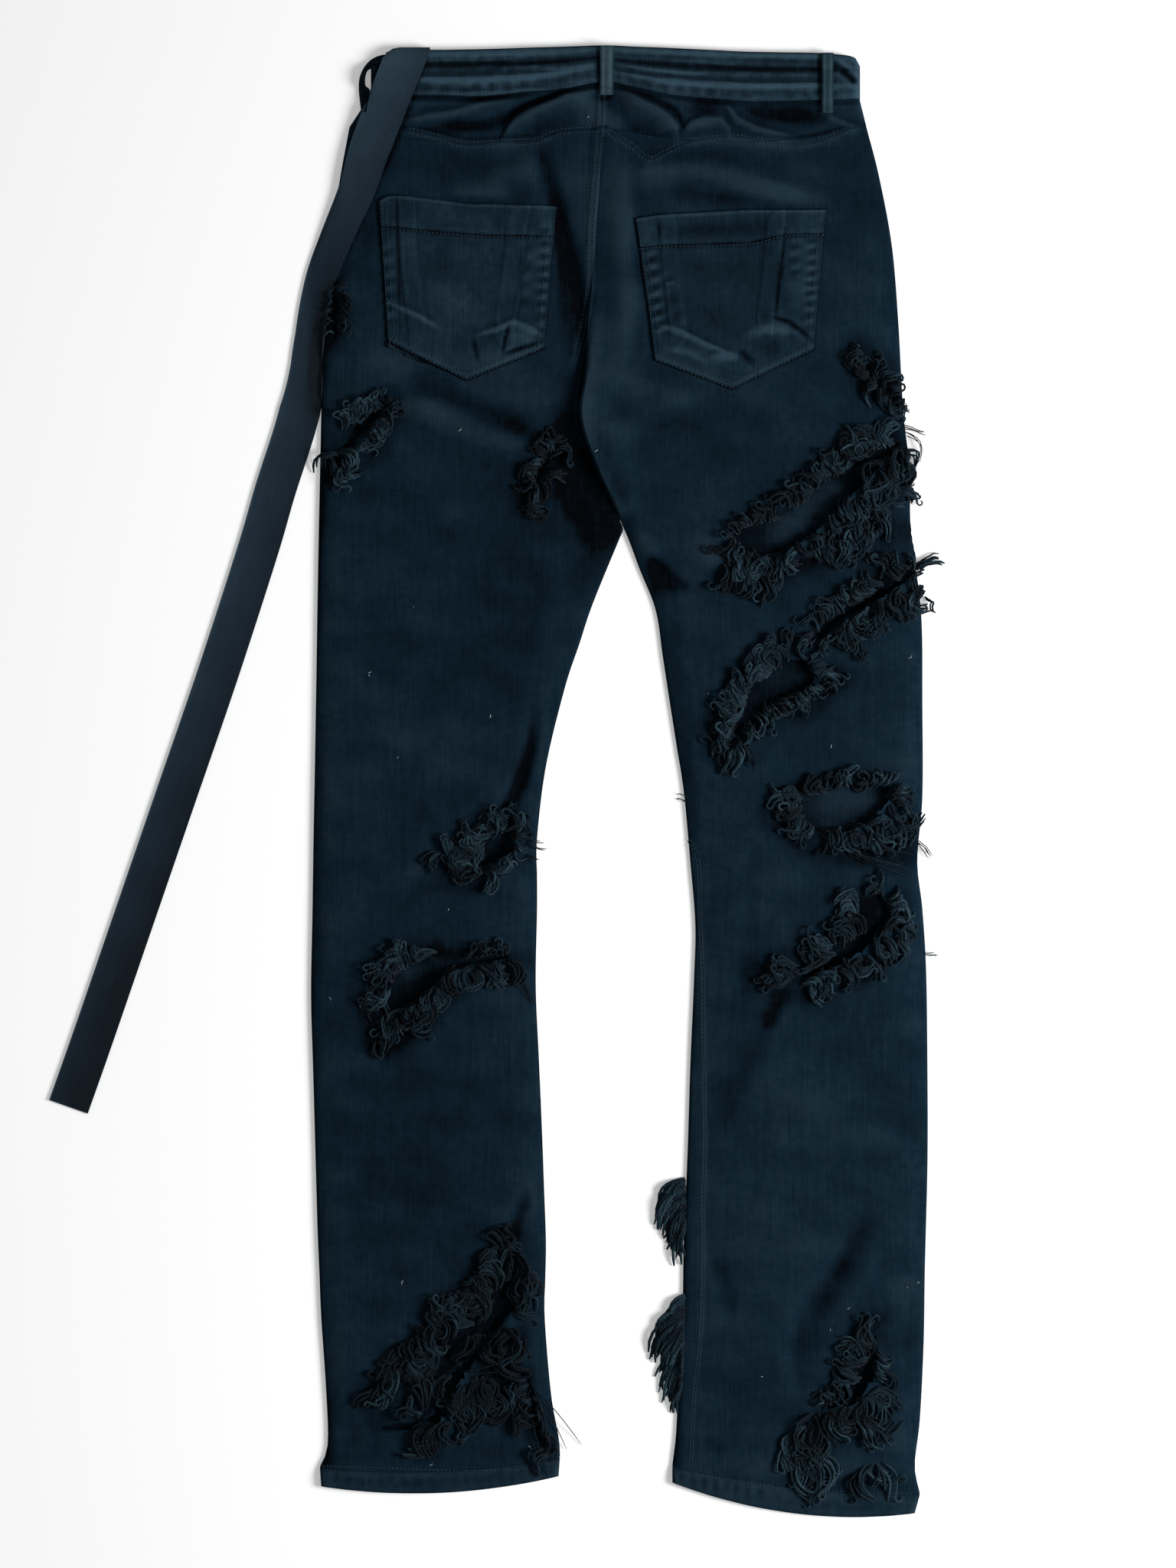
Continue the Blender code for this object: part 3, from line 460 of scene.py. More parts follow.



# Paler and darker patches of the back's cloth: in some places dye that has faded or stayed dark; in most
# painted light and shade, such as the shadow that the right half's lap casts at the crotch, the strap's
# shadow, shade in and around the rips and along the folded edges, and lighter patches where light falls
BODY_DYE_AND_LIGHT = hand_placed(
    DyeAndLight, Side.LEFT,
    (-0.6, 12, (50, 250), (60, 224), (74, 200)),
    (-0.9, 5, (14, -372), (8, -400), (6, -428)),
    (-0.4, 2, (-50, -498), (-70, -506), (-92, -507)),
    (-0.24, 6, (34, 498), (42, 480), (48, 464)),
    (-0.2, 6, (-26, 282), (4, 276), (34, 268)),
    (0.12, (9, 5), (84, 480), (82, 440), (80, 400)),
    (0.16, 9, (-60, -496), (-84, -492)),
    (-0.7, 3, (-52, -160), (-60, -176), (-72, -190), (-94, -192)),
    (-0.24, 6, (-133, -480), (-131, -520), (-130, -550)),
    (0.16, (8, 5), (88, 480), (86, 450), (82, 410)),
    (0.1, (16, 18), (-108, 330), (-86, 324), (-62, 318)),
    (0.1, 14, (-40, 330), (0, 310), (36, 312)),
    # painted shadow of the right half's lap on the left half at the crotch
    (-0.95, 15, (64, 262), (74, 238), (86, 212), (96, 188)),
    (-0.3, 12, (60, 300), (52, 272), (66, 236)),
    (-0.7, 11, (84, 216), (80, 196), (76, 180)),
    (-0.3, (18, 20), (90, 204), (80, 176), (66, 146)),
    (0.12, 16, (-112, 340), (-80, 334), (-50, 330)),
    (0.2, 5, (-34, 459), (-10, 461), (16, 460)),
    (-0.34, 6, (50, 470), (52, 430), (55, 390), (60, 350)),
    (-0.8, 6, (-44, -126), (-45, -146)),
    (-0.35, 4, (-136, 280), (-136, 200), (-137, 100)),
    (0.16, 12, (-30, -26), (-44, -34)),
    (0.14, 9, (-96, -512), (-60, -524)),
    (0.2, 7, (28, -496), (34, -508)),
    (-0.3, 7, (-130, -470), (-128, -545)),
    (-0.16, (34, 40), (30, 262), (22, 200), (14, 120), (26, 40)),
    (-0.24, 8, (-56, 306), (-20, 292), (10, 282), (36, 272)),
    (-0.3, (4, 3), (-106, 430), (-116, 400), (-126, 360), (-131, 320), (-135, 290)),
    (-0.36, 9, (30, 28), (16, -14), (-6, -44)),
    (-0.14, 9, (16, 60), (22, 20), (24, -8)),
    (-0.6, 5, (-134, 384), (-134, 348)),
    (-0.3, 6, (6, 279), (30, 271), (46, 264)),
    (-0.9, 14, (-16, -440), (2, -446), (18, -436)),
    (-0.5, 9, (12, -448), (0, -478), (6, -500)),
    (-0.2, 34, (-60, -120), (-84, -160), (-70, -210)),
    (-0.12, 60, (-60, -200), (-60, -300), (-40, -400)),
    (-0.34, 15, (22, -340), (6, -390), (-36, -456)),
    (-0.34, (20, 22), (26, -400), (10, -450), (6, -500)),
    (-0.3, 9, (-136, 300), (-136, 240), (-136, 180)),
    (-0.2, 4.5, (-136, 200), (-138, -60), (-140, -300), (-132, -540)),
    (-0.2, 12, (-132, 400), (-136, 350), (-138, 300)),
    (-0.25, 5, (-134, 262), (-134, 226), (-135, 190)),
    (0.12, 9, (72, 490), (72, 440), (70, 395)),
    (-0.16, 10, (-94, 480), (-98, 430), (-108, 390)),
    (0.16, (14, 18), (-100, 346), (-70, 318), (-20, 300), (30, 296)),
    (0.07, 34, (-110, 30), (-60, 20), (-20, -10)),
    (0.26, 13, (-60, -60), (-42, -80)),
    (0.2, 12, (-8, 492), (12, 492), (30, 486)),
    (-0.26, 9, (56, 452), (60, 400), (62, 350), (62, 316)),
    (0.12, 9, (72, 512), (72, 470), (71, 430)),
    (0.2, 4.5, (84.5, 500), (82.5, 480), (79.5, 450), (78, 430), (76, 400), (74, 376)),
) + hand_placed(
    DyeAndLight, Side.RIGHT,
    (-0.9, 9, (292, -90), (290, -110)),
    (0.25, 9, (310, -422), (313, -442)),
    (0.14, 12, (104, 300), (128, 290)),
    (0.12, 12, (118, 395), (126, 370), (136, 350)),
    (-0.3, 9, (78, 284), (88, 262), (98, 232), (104, 206)),
    (-0.9, 6, (302, -86), (300, -104), (296, -120), (282, -130)),
    (-0.8, 3, (276, -136), (258, -144), (238, -152)),
    (-0.3, 5, (144, -470), (142, -510), (142, -550)),
    (0.5, 1.8, (154.4, -60), (161.6, -68), (163.2, -112), (164.6, -145), (165.4, -204), (166.4, -288),
     (164.6, -335), (165.4, -364), (163.4, -431), (158.4, -479), (156, -527)),
    (0.2, 10, (166, 186), (180, 172), (190, 156)),
    (-0.3, 8, (78, 268), (90, 238), (104, 210)),
    (0.2, 5, (150, 463), (200, 464), (254, 461)),
    (-0.4, 12, (330, 206), (312, 190), (298, 176)),
    (0.2, 12, (178, 188), (184, 166)),
    (0.2, 8, (236, 168), (244, 156)),
    (0.16, 12, (316, -20), (322, -52)),
    (-0.5, 6, (120, 176), (126, 162), (130, 142)),
    (0.16, 9, (230, -500), (244, -524)),
    (-0.12, 14, (282, 540), (300, 470), (310, 400), (314, 340)),
    (-0.3, 14, (300, 286), (306, 264), (312, 240)),
    (-0.3, 10, (312, 236), (306, 214)),
    (0.22, 13, (98, 500), (98, 440), (98, 400)),
    (0.2, 18, (112, 400), (108, 350), (112, 300)),
    (0.26, 12, (116, 480), (132, 472), (150, 474)),
    (0.34, (3.5, 8), (140, 501), (180, 503), (230, 500), (262, 502)),
    (0.28, 7, (180, 468), (220, 460), (262, 454)),
    (-0.12, 16, (270, 520), (276, 480), (296, 420)),
    (0.1, 30, (140, 330), (176, 326), (200, 290)),
    (0.16, 18, (150, 190), (184, 178)),
    (-0.34, 9, (124, 184), (136, 164), (138, 140)),
    (-0.24, 7, (142, 150), (146, 80), (154, 0), (160, -40)),
    (-0.34, (16, 20), (322, 236), (290, 206), (256, 176)),
    (-0.34, 12, (334, 180), (306, 158), (276, 142)),
    (-0.26, 12, (300, 316), (306, 290)),
    (-0.16, 12, (196, 96), (190, 60)),
    (-0.24, 12, (222, 52), (256, 66), (270, 90)),
    (0.14, 24, (200, -70), (232, -96)),
    (-0.26, (9, 14), (234, -150), (214, -190), (192, -240), (172, -288)),
    (0.1, 46, (270, -180), (240, -260), (230, -340), (190, -390)),
    (-0.05, 16, (320, -160), (326, -280), (322, -380)),
    (-0.16, (14, 10), (300, -330), (272, -390), (252, -440)),
    (0.16, 12, (316, -380), (322, -430)),
    (-0.3, 2.6, (151, -300), (149, -420), (145, -540)),
    (0.12, 10, (170, -530), (240, -536), (320, -540)),
) + hand_placed(
    DyeAndLight, None,
    # painted shadow of the strap beside its right edge
    (-0.5, 2.6, (-50, 572), (-58, 548), (-67, 522), (-76, 498), (-89, 470), (-101, 444), (-113, 410)),
)
# Painted light and shade on the yoke: highlights along its ridges, shade in its folds, along its seams and
# under the waistband, with a few broader paler patches
YOKE_DYE_AND_LIGHT = hand_placed(
    DyeAndLight, None,
    (0.16, 7, (72, 534), (84, 524), (96, 516), (98, 504)),
    (0.2, 5, (128, 514), (150, 514), (180, 516)),
    (0.28, 7, (66, 514), (84, 518), (104, 512)),
    (-0.4, (2, 1.2), (-64, 513), (-50, 510), (-36, 506), (-20, 503), (0, 503), (20, 504.5), (44, 506)),
    (-0.24, (8, 6), (-44, 513), (-16, 512), (8, 510)),
    (-0.3, 5, (-24, 535), (6, 533), (36, 538)),
    (-0.6, (2.2, 1), (14, 520.5), (26, 527), (44, 534.5), (58, 540.5)),
    (0.3, (1, 2.4), (14, 514), (19, 518), (30, 525), (50, 532), (64, 539)),
    (0.16, (1.6, 1.8), (-66, 518), (-50, 520), (-30, 523), (-10, 529), (8, 534)),
    (-0.2, 7, (28, 508), (44, 514), (56, 512)),
    (0.34, (7, 9), (62, 536), (78, 530), (92, 514)),
    (-0.6, 1.8, (80, 536), (88, 534), (96, 537)),
    (-0.5, (4, 1.2), (112, 539), (130, 532), (142, 524), (148, 514)),
    (0.26, (1, 2.6), (104, 537), (115, 531), (128, 525), (137, 518), (142, 510)),
    (-0.3, 8, (106, 516), (120, 505), (132, 504)),
    (-0.5, (6, 7), (154, 529), (168, 528), (180, 529)),
    (0.16, (3, 5), (152, 512), (162, 516), (176, 515)),
    (-0.55, 8, (196, 527), (224, 523), (262, 522)),
    (0.24, (1.2, 2.4), (186, 522), (192, 516), (206, 510), (222, 506)),
    (-0.4, (2, 1.2), (205, 507), (222, 504.5), (240, 503.5), (256, 506), (272, 511), (292, 515)),
)

YOKE_SEAM_LEFT = ((-113, 512), (-92, 513), (-70, 511), (-42, 505), (-22, 499), (6, 501), (34, 502), (52, 509),
                  (88, 512))
YOKE_SEAM_RIGHT = ((88, 512), (98, 505), (110, 498), (123, 488), (136, 494), (157, 502), (187, 505),
                   (212, 502), (238, 499), (258, 503), (280, 511), (294, 513))


def dye_and_light_of(points: Array, dye_and_light: Sequence[DyeAndLight], side: Side) -> Array:
    """Change of paleness, from dye and from painted light and shade, at points of one half's cloth."""
    return sum_of_forms(points, dye_and_light, side, 80.0)


def sum_of_forms(points: Array, forms: Sequence, side: Side, reach: float) -> Array:
    """Adds up what forms give at points of one half's cloth.

    Args:
        points: Rows of x and y.
        forms: Creases, seams, puckers or patches of dye and painted light and shade.
        side: The half that the cloth belongs to.
        reach: Distance from a form's path beyond which it counts for nothing.

    Returns:
        The sum at each point.
    """
    total = np.zeros(len(points))
    for form in forms:
        if form.only in (None, side):
            path = np.array(form.path)
            close = ((points > path.min(0) - reach) & (points < path.max(0) + reach)).all(1)
            if close.any():
                total[close] += form.height(points[close])
    return total


# The inseam's fold fades out between these heights, up to the crotch
CROTCH_LOW, CROTCH_HIGH = 150.0, 215.0


@dataclass
class Lie:
    """Height of the garment's upper cloth everywhere, from its folded sides, folds and seams."""

    panels: dict[Side, FourSides]
    edge_height: float = 2.9
    puff: float = 2.6
    roll: float = 9.0
    low: float = 2.4
    forms: tuple = BACK_FORMS

    def edges(self, side: Side) -> list[Array]:
        """The folded edges of one leg: its side seam, and its inseam as far as the crotch."""
        panel = self.panels[side]
        outer, inner = side.outer_first(panel.left, panel.right)
        return [outer, inner[inner[:, 1] < CROTCH_HIGH - 14]]

    def height(self, points: Array, side: Side) -> Array:
        """Height of one half's cloth.

        Args:
            points: Rows of x and y.
            side: The half that the cloth belongs to.

        Returns:
            The height at each point.
        """
        near = np.min([nearest_on(points, edge)[0] for edge in self.edges(side)], axis=0)
        rise = sum_of_forms(points, self.forms, side, 70.0)
        drift = 0.9 * ripple(points, 110.0, 11) + 0.3 * ripple(points, 34.0, 12)
        soft = self.edge_height + self.puff * (1 - np.exp(-near / self.roll))
        return np.maximum(soft + (rise + drift) * np.clip(near / 12, 0, 1), self.low)


class Ground:
    """The highest cloth under a point, read from the finished pieces."""

    def __init__(self, pieces: Sequence[bpy.types.Object]) -> None:
        """Args: pieces: The pieces that carry what is laid later."""
        self.trees = []
        for piece in pieces:
            mesh = piece.data
            places = [v.co.copy() for v in mesh.vertices]
            self.trees.append(BVHTree.FromPolygons(places, [tuple(p.vertices) for p in mesh.polygons]))

    def at(self, x: float, y: float) -> float:
        """Height of the cloth at a point, or 0 beside the garment."""
        best = 0.0
        start, down = Vector((x * MM, y * MM, 0.06)), Vector((0, 0, -1))
        for tree in self.trees:
            hit = tree.ray_cast(start, down)[0]
            if hit:
                best = max(best, hit.z / MM)
        return best

    def along(self, places: Array) -> Array:
        """Heights at rows of x and y."""
        return np.array([self.at(x, y) for x, y in places])


# ---------------------------------------------------------------- making pieces

def net_faces(rows: int, columns: int, closed: bool = False) -> Array:
    """Quads of a net, upwards where rows run up and columns to the right."""
    last = columns if closed else columns - 1
    r, c = np.meshgrid(np.arange(rows - 1), np.arange(last), indexing="ij")
    r, c, d = r.ravel(), c.ravel(), ((c + 1) % columns).ravel()
    return np.stack([r * columns + c, r * columns + d, (r + 1) * columns + d, (r + 1) * columns + c], axis=1)


def deselect_all() -> None:
    """Leaves nothing selected."""
    for obj in bpy.context.selected_objects:
        obj.select_set(False)


def select_only(obj: bpy.types.Object) -> None:
    """Makes a piece the only selected and the active one."""
    deselect_all()
    obj.select_set(True)
    bpy.context.view_layer.objects.active = obj


def make_piece(
    name: str, places: Array, faces: Array, material: bpy.types.Material, wear_and_shade: Array | None = None,
    corners: Array | None = None
) -> bpy.types.Object:
    """Makes a mesh piece.

    Args:
        name: The piece's name.
        places: Rows of x, y and z in millimetres.
        faces: Rows of corner numbers.
        material: Its finish.
        wear_and_shade: How rubbed each place is and what painted light and shade it has, from 0 dark to 1
            pale.
        corners: Rows of the two lengths along the cloth at each face's corners, in millimetres.

    Returns:
        The new object, with its place in its mesh.
    """
    used = np.unique(faces)
    number = np.zeros(len(places), int)
    number[used] = np.arange(len(used))
    mesh = bpy.data.meshes.new(name)
    mesh.from_pydata((places[used] * MM).tolist(), [], number[faces].tolist())
    if wear_and_shade is not None:
        layer = mesh.attributes.new("wear_and_shade", "FLOAT", "POINT")
        layer.data.foreach_set("value", wear_and_shade[used].astype(np.float32))
    if corners is not None:
        mesh.uv_layers.new(name="UVMap").uv.foreach_set("vector", (corners * MM).astype(np.float32).ravel())
    mesh.materials.append(material)
    mesh.update()
    obj = bpy.data.objects.new(name, mesh)
    bpy.context.scene.collection.objects.link(obj)
    return obj


def thicken(obj: bpy.types.Object, wall: float, lining: int = 0, angle: float = 50.0) -> bpy.types.Object:
    """Gives a sheet its wall, behind its faces, and smooth shading.

    Args:
        obj: The sheet, its faces pointing outwards.
        wall: Thickness in millimetres.
        lining: 1 where its inner side has the piece's second finish.
        angle: Edges sharper than this many degrees stay crisp.

    Returns:
        The same object.
    """
    select_only(obj)
    modifier = obj.modifiers.new("Wall", "SOLIDIFY")
    modifier.thickness = wall * MM
    modifier.offset = -1.0
    modifier.material_offset = lining
    bpy.ops.object.modifier_apply(modifier="Wall")
    bpy.ops.object.shade_smooth_by_angle(angle=math.radians(angle))
    return obj


def averaged(values: Array, reach: int) -> Array:
    """Average of a net's values over the threads around each place."""
    for axis in (0, 1):
        pad = [(reach, reach) if k == axis else (0, 0) for k in (0, 1)]
        before = [(1, 0) if k == axis else (0, 0) for k in (0, 1)]
        total = np.cumsum(np.pad(np.pad(values, pad, mode="edge"), before), axis=axis)
        size = 2 * reach + 1
        first, last = [np.take(total, np.arange(values.shape[axis]) + k, axis=axis) for k in (0, size)]
        values = (last - first) / size
    return values


def wear_and_shade_of(heights: Array, reach: int = 3, gain: float = 0.22) -> Array:
    """How rubbed and how shaded each place of a net is: above 0.5 on ridges, where the cloth is rubbed paler,
    and below it in troughs as painted shade.

    Args:
        heights: Rows x columns of heights.
        reach: How many threads to each side the surroundings are averaged over.
        gain: Change for each millimetre above the surroundings.

    Returns:
        Values from 0 to 1, one for each place.
    """
    near, far = heights - averaged(heights, reach), heights - averaged(heights, 4 * reach)
    return np.clip(0.5 + gain * (near + 0.25 * far), 0, 1).ravel()


def finish_piece(
    obj: bpy.types.Object, slot: str, *nodes: str, flat: tuple[float, float] | None = None,
    area: float | None = None, rests_on: Sequence[str] = ()
) -> bpy.types.Object:
    """Hangs a piece under the root body and hides the solids that it stands for.

    Args:
        obj: The piece.
        slot: The record's material slot; not used.
        nodes: Solids that it stands for.
        flat: Width and length of the cut cloth in millimetres, for a sheet; not used.
        area: Its flat area in square millimetres, where it isn't a rectangle; not used.
        rests_on: Names of what the sheet lies on; not used.

    Returns:
        The same object.
    """
    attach(obj, "root")
    if nodes:
        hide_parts(*nodes)
    log.info("%s: %d faces", obj.name, len(obj.data.polygons))
    return obj


def finish_panel(
    obj: bpy.types.Object, node: str, sides: FourSides, under: str, flat: tuple[float, float] | None = None
) -> bpy.types.Object:
    """Hangs a cut panel under the root body and hides its solid.

    Args:
        obj: The panel.
        node: The solid that it stands for.
        sides: Its cut edges.
        under: Name of what it lies on.
        flat: Its flat width and length, where they aren't those of the box around its edges.

    Returns:
        The same object.
    """
    size = sides.outline.max(0) - sides.outline.min(0)
    flat = flat or (float(size[0]), float(size[1]))
    return finish_piece(obj, "denim", node, flat=flat, area=abs(area_of(sides.outline)), rests_on=[under])


# ---------------------------------------------------------------- finishes

class Shading:
    """A material's node tree, with short calls for the nodes that the finishes share."""

    def __init__(self, name: str, roughness: float) -> None:
        """Args: name: The material's name. roughness: Its even roughness."""
        self.material = bpy.data.materials.new(name)
        self.material.use_nodes = True
        self.tree = self.material.node_tree
        self.shader = self.tree.nodes["Principled BSDF"]
        self.shader.inputs["Roughness"].default_value = roughness
        self.coordinates = self.node("ShaderNodeTexCoord")

    def node(self, kind: str, **settings: object) -> bpy.types.Node:
        """Adds a node and sets its properties, or its sockets where the name is a socket's."""
        node = self.tree.nodes.new(kind)
        for name, value in settings.items():
            if hasattr(node, name):
                setattr(node, name, value)
            else:
                node.inputs[name.replace("_", " ")].default_value = value
        return node

    def link(self, source: bpy.types.NodeSocket, target: bpy.types.NodeSocket) -> None:
        """Joins two sockets."""
        self.tree.links.new(source, target)

    def stretched(
        self, scale: tuple[float, float, float], turn: float = 0.0, socket: str = "Object"
    ) -> bpy.types.NodeSocket:
        """Coordinates stretched and turned about Z by degrees."""
        mapping = self.node("ShaderNodeMapping")
        mapping.inputs["Scale"].default_value = scale
        mapping.inputs["Rotation"].default_value = (0, 0, math.radians(turn))
        self.link(self.coordinates.outputs[socket], mapping.inputs["Vector"])
        return mapping.outputs["Vector"]

    def noise(self, vector: bpy.types.NodeSocket, scale: float, detail: float = 3.0) -> bpy.types.NodeSocket:
        """Uneven values around one half."""
        noise = self.node("ShaderNodeTexNoise", Scale=scale, Detail=detail)
        self.link(vector, noise.inputs["Vector"])
        return noise.outputs["Fac"]

    def math(self, operation: str, first: object, second: object) -> bpy.types.NodeSocket:
        """A sum, product or other result of two values or sockets."""
        node = self.node("ShaderNodeMath", operation=operation)
        for socket, value in zip(node.inputs, (first, second)):
            if isinstance(value, bpy.types.NodeSocket):
                self.link(value, socket)
            else:
                socket.default_value = value
        return node.outputs[0]

    def attribute(self, name: str) -> bpy.types.NodeSocket:
        """A value kept on the mesh."""
        return self.node("ShaderNodeAttribute", attribute_name=name).outputs["Fac"]

    def ramp(self, value: bpy.types.NodeSocket, colours: Sequence[Colour]) -> bpy.types.NodeSocket:
        """Colours spread evenly over a value from 0 to 1."""
        ramp = self.node("ShaderNodeValToRGB")
        stops = ramp.color_ramp.elements
        while len(stops) < len(colours):
            stops.new(0.5)
        for i, colour in enumerate(colours):
            stops[i].position = i / (len(colours) - 1)
            stops[i].color = (*colour, 1.0)
        self.link(value, ramp.inputs["Fac"])
        return ramp.outputs["Color"]

    def wear_and_shade_colours(self, colours: Sequence[Colour], *sources: tuple) -> None:
        """Colours the shader by how rubbed and how shaded the mesh is, varied by uneven values with their
        gains.
        """
        value = self.attribute("wear_and_shade")
        for source, gain in sources:
            value = self.math("ADD", value, self.math("MULTIPLY", self.math("SUBTRACT", source, 0.5), gain))
        self.link(self.ramp(value, colours), self.shader.inputs["Base Color"])

    def threads(
        self, vector: bpy.types.NodeSocket, pitch: float, distortion: float, detail: float = 2.0,
        across: str = "X",
    ) -> bpy.types.NodeSocket:
        """Threads side by side, a pitch apart in millimetres."""
        scale = 0.314 / (pitch * MM)
        wave = self.node("ShaderNodeTexWave", Scale=scale, Distortion=distortion, Detail=detail)
        wave.bands_direction = across
        self.link(vector, wave.inputs["Vector"])
        return wave.outputs["Fac"]

    def bump(self, height: bpy.types.NodeSocket, depth: float, strength: float) -> None:
        """Fine relief on the shader, its depth in millimetres."""
        bump = self.node("ShaderNodeBump", Strength=strength, Distance=depth * MM)
        self.link(height, bump.inputs["Height"])
        self.link(bump.outputs["Normal"], self.shader.inputs["Normal"])

    def cloth_gloss(self, sheen: float, tint: Colour, specular: float) -> None:
        """The even sheen and weak gloss of cotton."""
        inputs = self.shader.inputs
        inputs["Sheen Weight"].default_value = sheen
        inputs["Sheen Roughness"].default_value = 0.45
        inputs["Sheen Tint"].default_value = (*tint, 1.0)
        inputs["Specular IOR Level"].default_value = specular


@dataclass(frozen=True)
class DenimFinish:
    """Dark overdyed stretch denim: fine twill, slubs, a paler bloom where what sticks out is rubbed, and
    painted light and shade: paler on ridges, near black in troughs and painted shadows.
    """

    name: str
    # trough: the colour of painted shade in troughs, hollows and shadows; worn_and_lit: rubbed cloth and
    # painted light, on ridges and lit patches
    trough: Colour
    cloth: Colour
    worn_and_lit: Colour
    twill_pitch: float = 0.75
    sheen: float = 0.022

    def material(self) -> bpy.types.Material:
        """Builds the material."""
        shading = Shading(self.name, 0.85)
        plain = shading.stretched((1, 1, 1))
        cloud = shading.noise(plain, 24.0, 5.0)
        warp = shading.noise(shading.stretched((700, 28, 300)), 1.0, 3.0)
        weft = shading.noise(shading.stretched((150, 1000, 400)), 1.0, 2.0)
        mottle = shading.noise(plain, 160.0, 3.0)
        sources = (cloud, 0.36), (warp, 0.38), (weft, 0.2), (mottle, 0.34)
        shading.wear_and_shade_colours((self.trough, self.cloth, self.worn_and_lit), *sources)
        twill = shading.threads(shading.stretched((1, 1, 0), 28.0), self.twill_pitch, 0.6, 1.0)
        grain = shading.math("MULTIPLY", shading.noise(plain, 1400.0, 2.0), 0.9)
        shading.bump(shading.math("ADD", twill, grain), 0.16, 0.55)
        shading.cloth_gloss(self.sheen, (0.4, 0.7, 1.0), 0.025)
        return shading.material


@dataclass(frozen=True)
class YarnFinish:
    """Frayed cotton yarn, twisted and uneven in colour from strand to strand."""

    name: str
    dark: Colour
    middle: Colour
    pale: Colour
    twist: float = 2.6

    def material(self) -> bpy.types.Material:
        """Builds the material."""
        shading = Shading(self.name, 0.9)
        fleck = shading.noise(shading.stretched((1, 1, 1)), 420.0, 3.0)
        shading.wear_and_shade_colours((self.dark, self.middle, self.pale), (fleck, 0.5))
        shading.bump(shading.threads(shading.stretched((1, 1, 1), 52.0, "UV"), self.twist, 1.2), 0.3, 0.7)
        shading.cloth_gloss(0.06, (0.6, 0.78, 1.0), 0.1)
        return shading.material


@dataclass(frozen=True)
class WebbingFinish:
    """Tightly woven cotton tape with crosswise ribs and firm edges."""

    name: str
    # trough: the colour of painted shade and shadow on the tape; worn_and_lit: its palest, partly painted
    # light
    trough: Colour
    cloth: Colour
    worn_and_lit: Colour
    rib: float = 1.1
    end: float = 0.9

    def material(self) -> bpy.types.Material:
        """Builds the material."""
        shading = Shading(self.name, 0.8)
        streaks = shading.noise(shading.stretched((700, 30, 1), 0.0, "UV"), 1.0, 3.0)
        cloud = shading.noise(shading.stretched((1, 1, 1)), 22.0, 4.0)
        shading.wear_and_shade_colours((self.trough, self.cloth, self.worn_and_lit), (streaks, 0.35), (cloud, 0.4))
        tape = shading.stretched((1, 1, 1), 0.0, "UV")
        ribs, ends = shading.threads(tape, self.rib, 0.4, across="Y"), shading.threads(tape, self.end, 0.4)
        shading.bump(shading.math("MULTIPLY", ribs, ends), 0.2, 0.6)
        shading.cloth_gloss(0.05, (0.6, 0.75, 1.0), 0.15)
        return shading.material


@dataclass(frozen=True)
class MetalFinish:
    """Dull dark metal of the waist button."""

    name: str
    colour: Colour

    def material(self) -> bpy.types.Material:
        """Builds the material."""
        shading = Shading(self.name, 0.42)
        tarnish = shading.noise(shading.stretched((1, 1, 1)), 500.0, 4.0)
        dull = tuple(0.55 * c for c in self.colour)
        shading.link(shading.ramp(tarnish, (dull, self.colour)), shading.shader.inputs["Base Color"])
        shading.shader.inputs["Metallic"].default_value = 0.9
        shading.bump(tarnish, 0.05, 0.4)
        return shading.material


@dataclass(frozen=True)
class FloorFinish:
    """A plain white floor that shows white to the camera and keeps a soft shadow."""

    name: str = "white_floor"
    colour: Colour = (0.86, 0.86, 0.86)
    glow: float = 0.3

    def material(self) -> bpy.types.Material:
        """Builds the material."""
        shading = Shading(self.name, 0.9)
        shading.shader.inputs["Base Color"].default_value = (*self.colour, 1.0)
        rays = shading.node("ShaderNodeLightPath").outputs
        seen = shading.math("MAXIMUM", rays["Is Camera Ray"], rays["Is Glossy Ray"])
        seen = shading.math("MAXIMUM", seen, rays["Is Transmission Ray"])
        shading.shader.inputs["Emission Color"].default_value = (1, 1, 1, 1)
        shading.link(shading.math("MULTIPLY", seen, self.glow), shading.shader.inputs["Emission Strength"])
        return shading.material


BODY_DENIM = DenimFinish(
    "body_denim", (0.0006, 0.0012, 0.0024), (0.0042, 0.0138, 0.0243), (0.0150, 0.0315, 0.0465)
)
# The front's inner side, seen through the rips, with its colours darkened as painted shade inside the rips
DENIM_INSIDE_SHADED = DenimFinish(
    "denim_inside_shaded", (0.0003, 0.0006, 0.0010), (0.0012, 0.0036, 0.0066), (0.0085, 0.0200, 0.0320)
)
POCKET_DENIM = DenimFinish(
    "pocket_denim", (0.0006, 0.0014, 0.0028), (0.0066, 0.0182, 0.0300), (0.0250, 0.0500, 0.0700)
)
WAIST_DENIM = DenimFinish(
    "waist_denim", (0.0010, 0.0028, 0.0050), (0.0085, 0.0200, 0.0310), (0.0330, 0.0680, 0.0960)
)
LOOP_DENIM = DenimFinish(
    "loop_denim", (0.0030, 0.0080, 0.0130), (0.0200, 0.0420, 0.0560), (0.0560, 0.0920, 0.1100)
)
FRAYED_YARN = YarnFinish(
    "frayed_yarn", (0.0006, 0.0018, 0.0034), (0.0040, 0.0124, 0.0200), (0.0200, 0.0440, 0.0590)
)
SEWING_THREAD = YarnFinish(
    "sewing_thread", (0.0080, 0.0200, 0.0320), (0.0160, 0.0340, 0.0500), (0.0320, 0.0600, 0.0820)
)
LINT = YarnFinish("lint", (0.05, 0.07, 0.09), (0.12, 0.15, 0.18), (0.35, 0.38, 0.42))
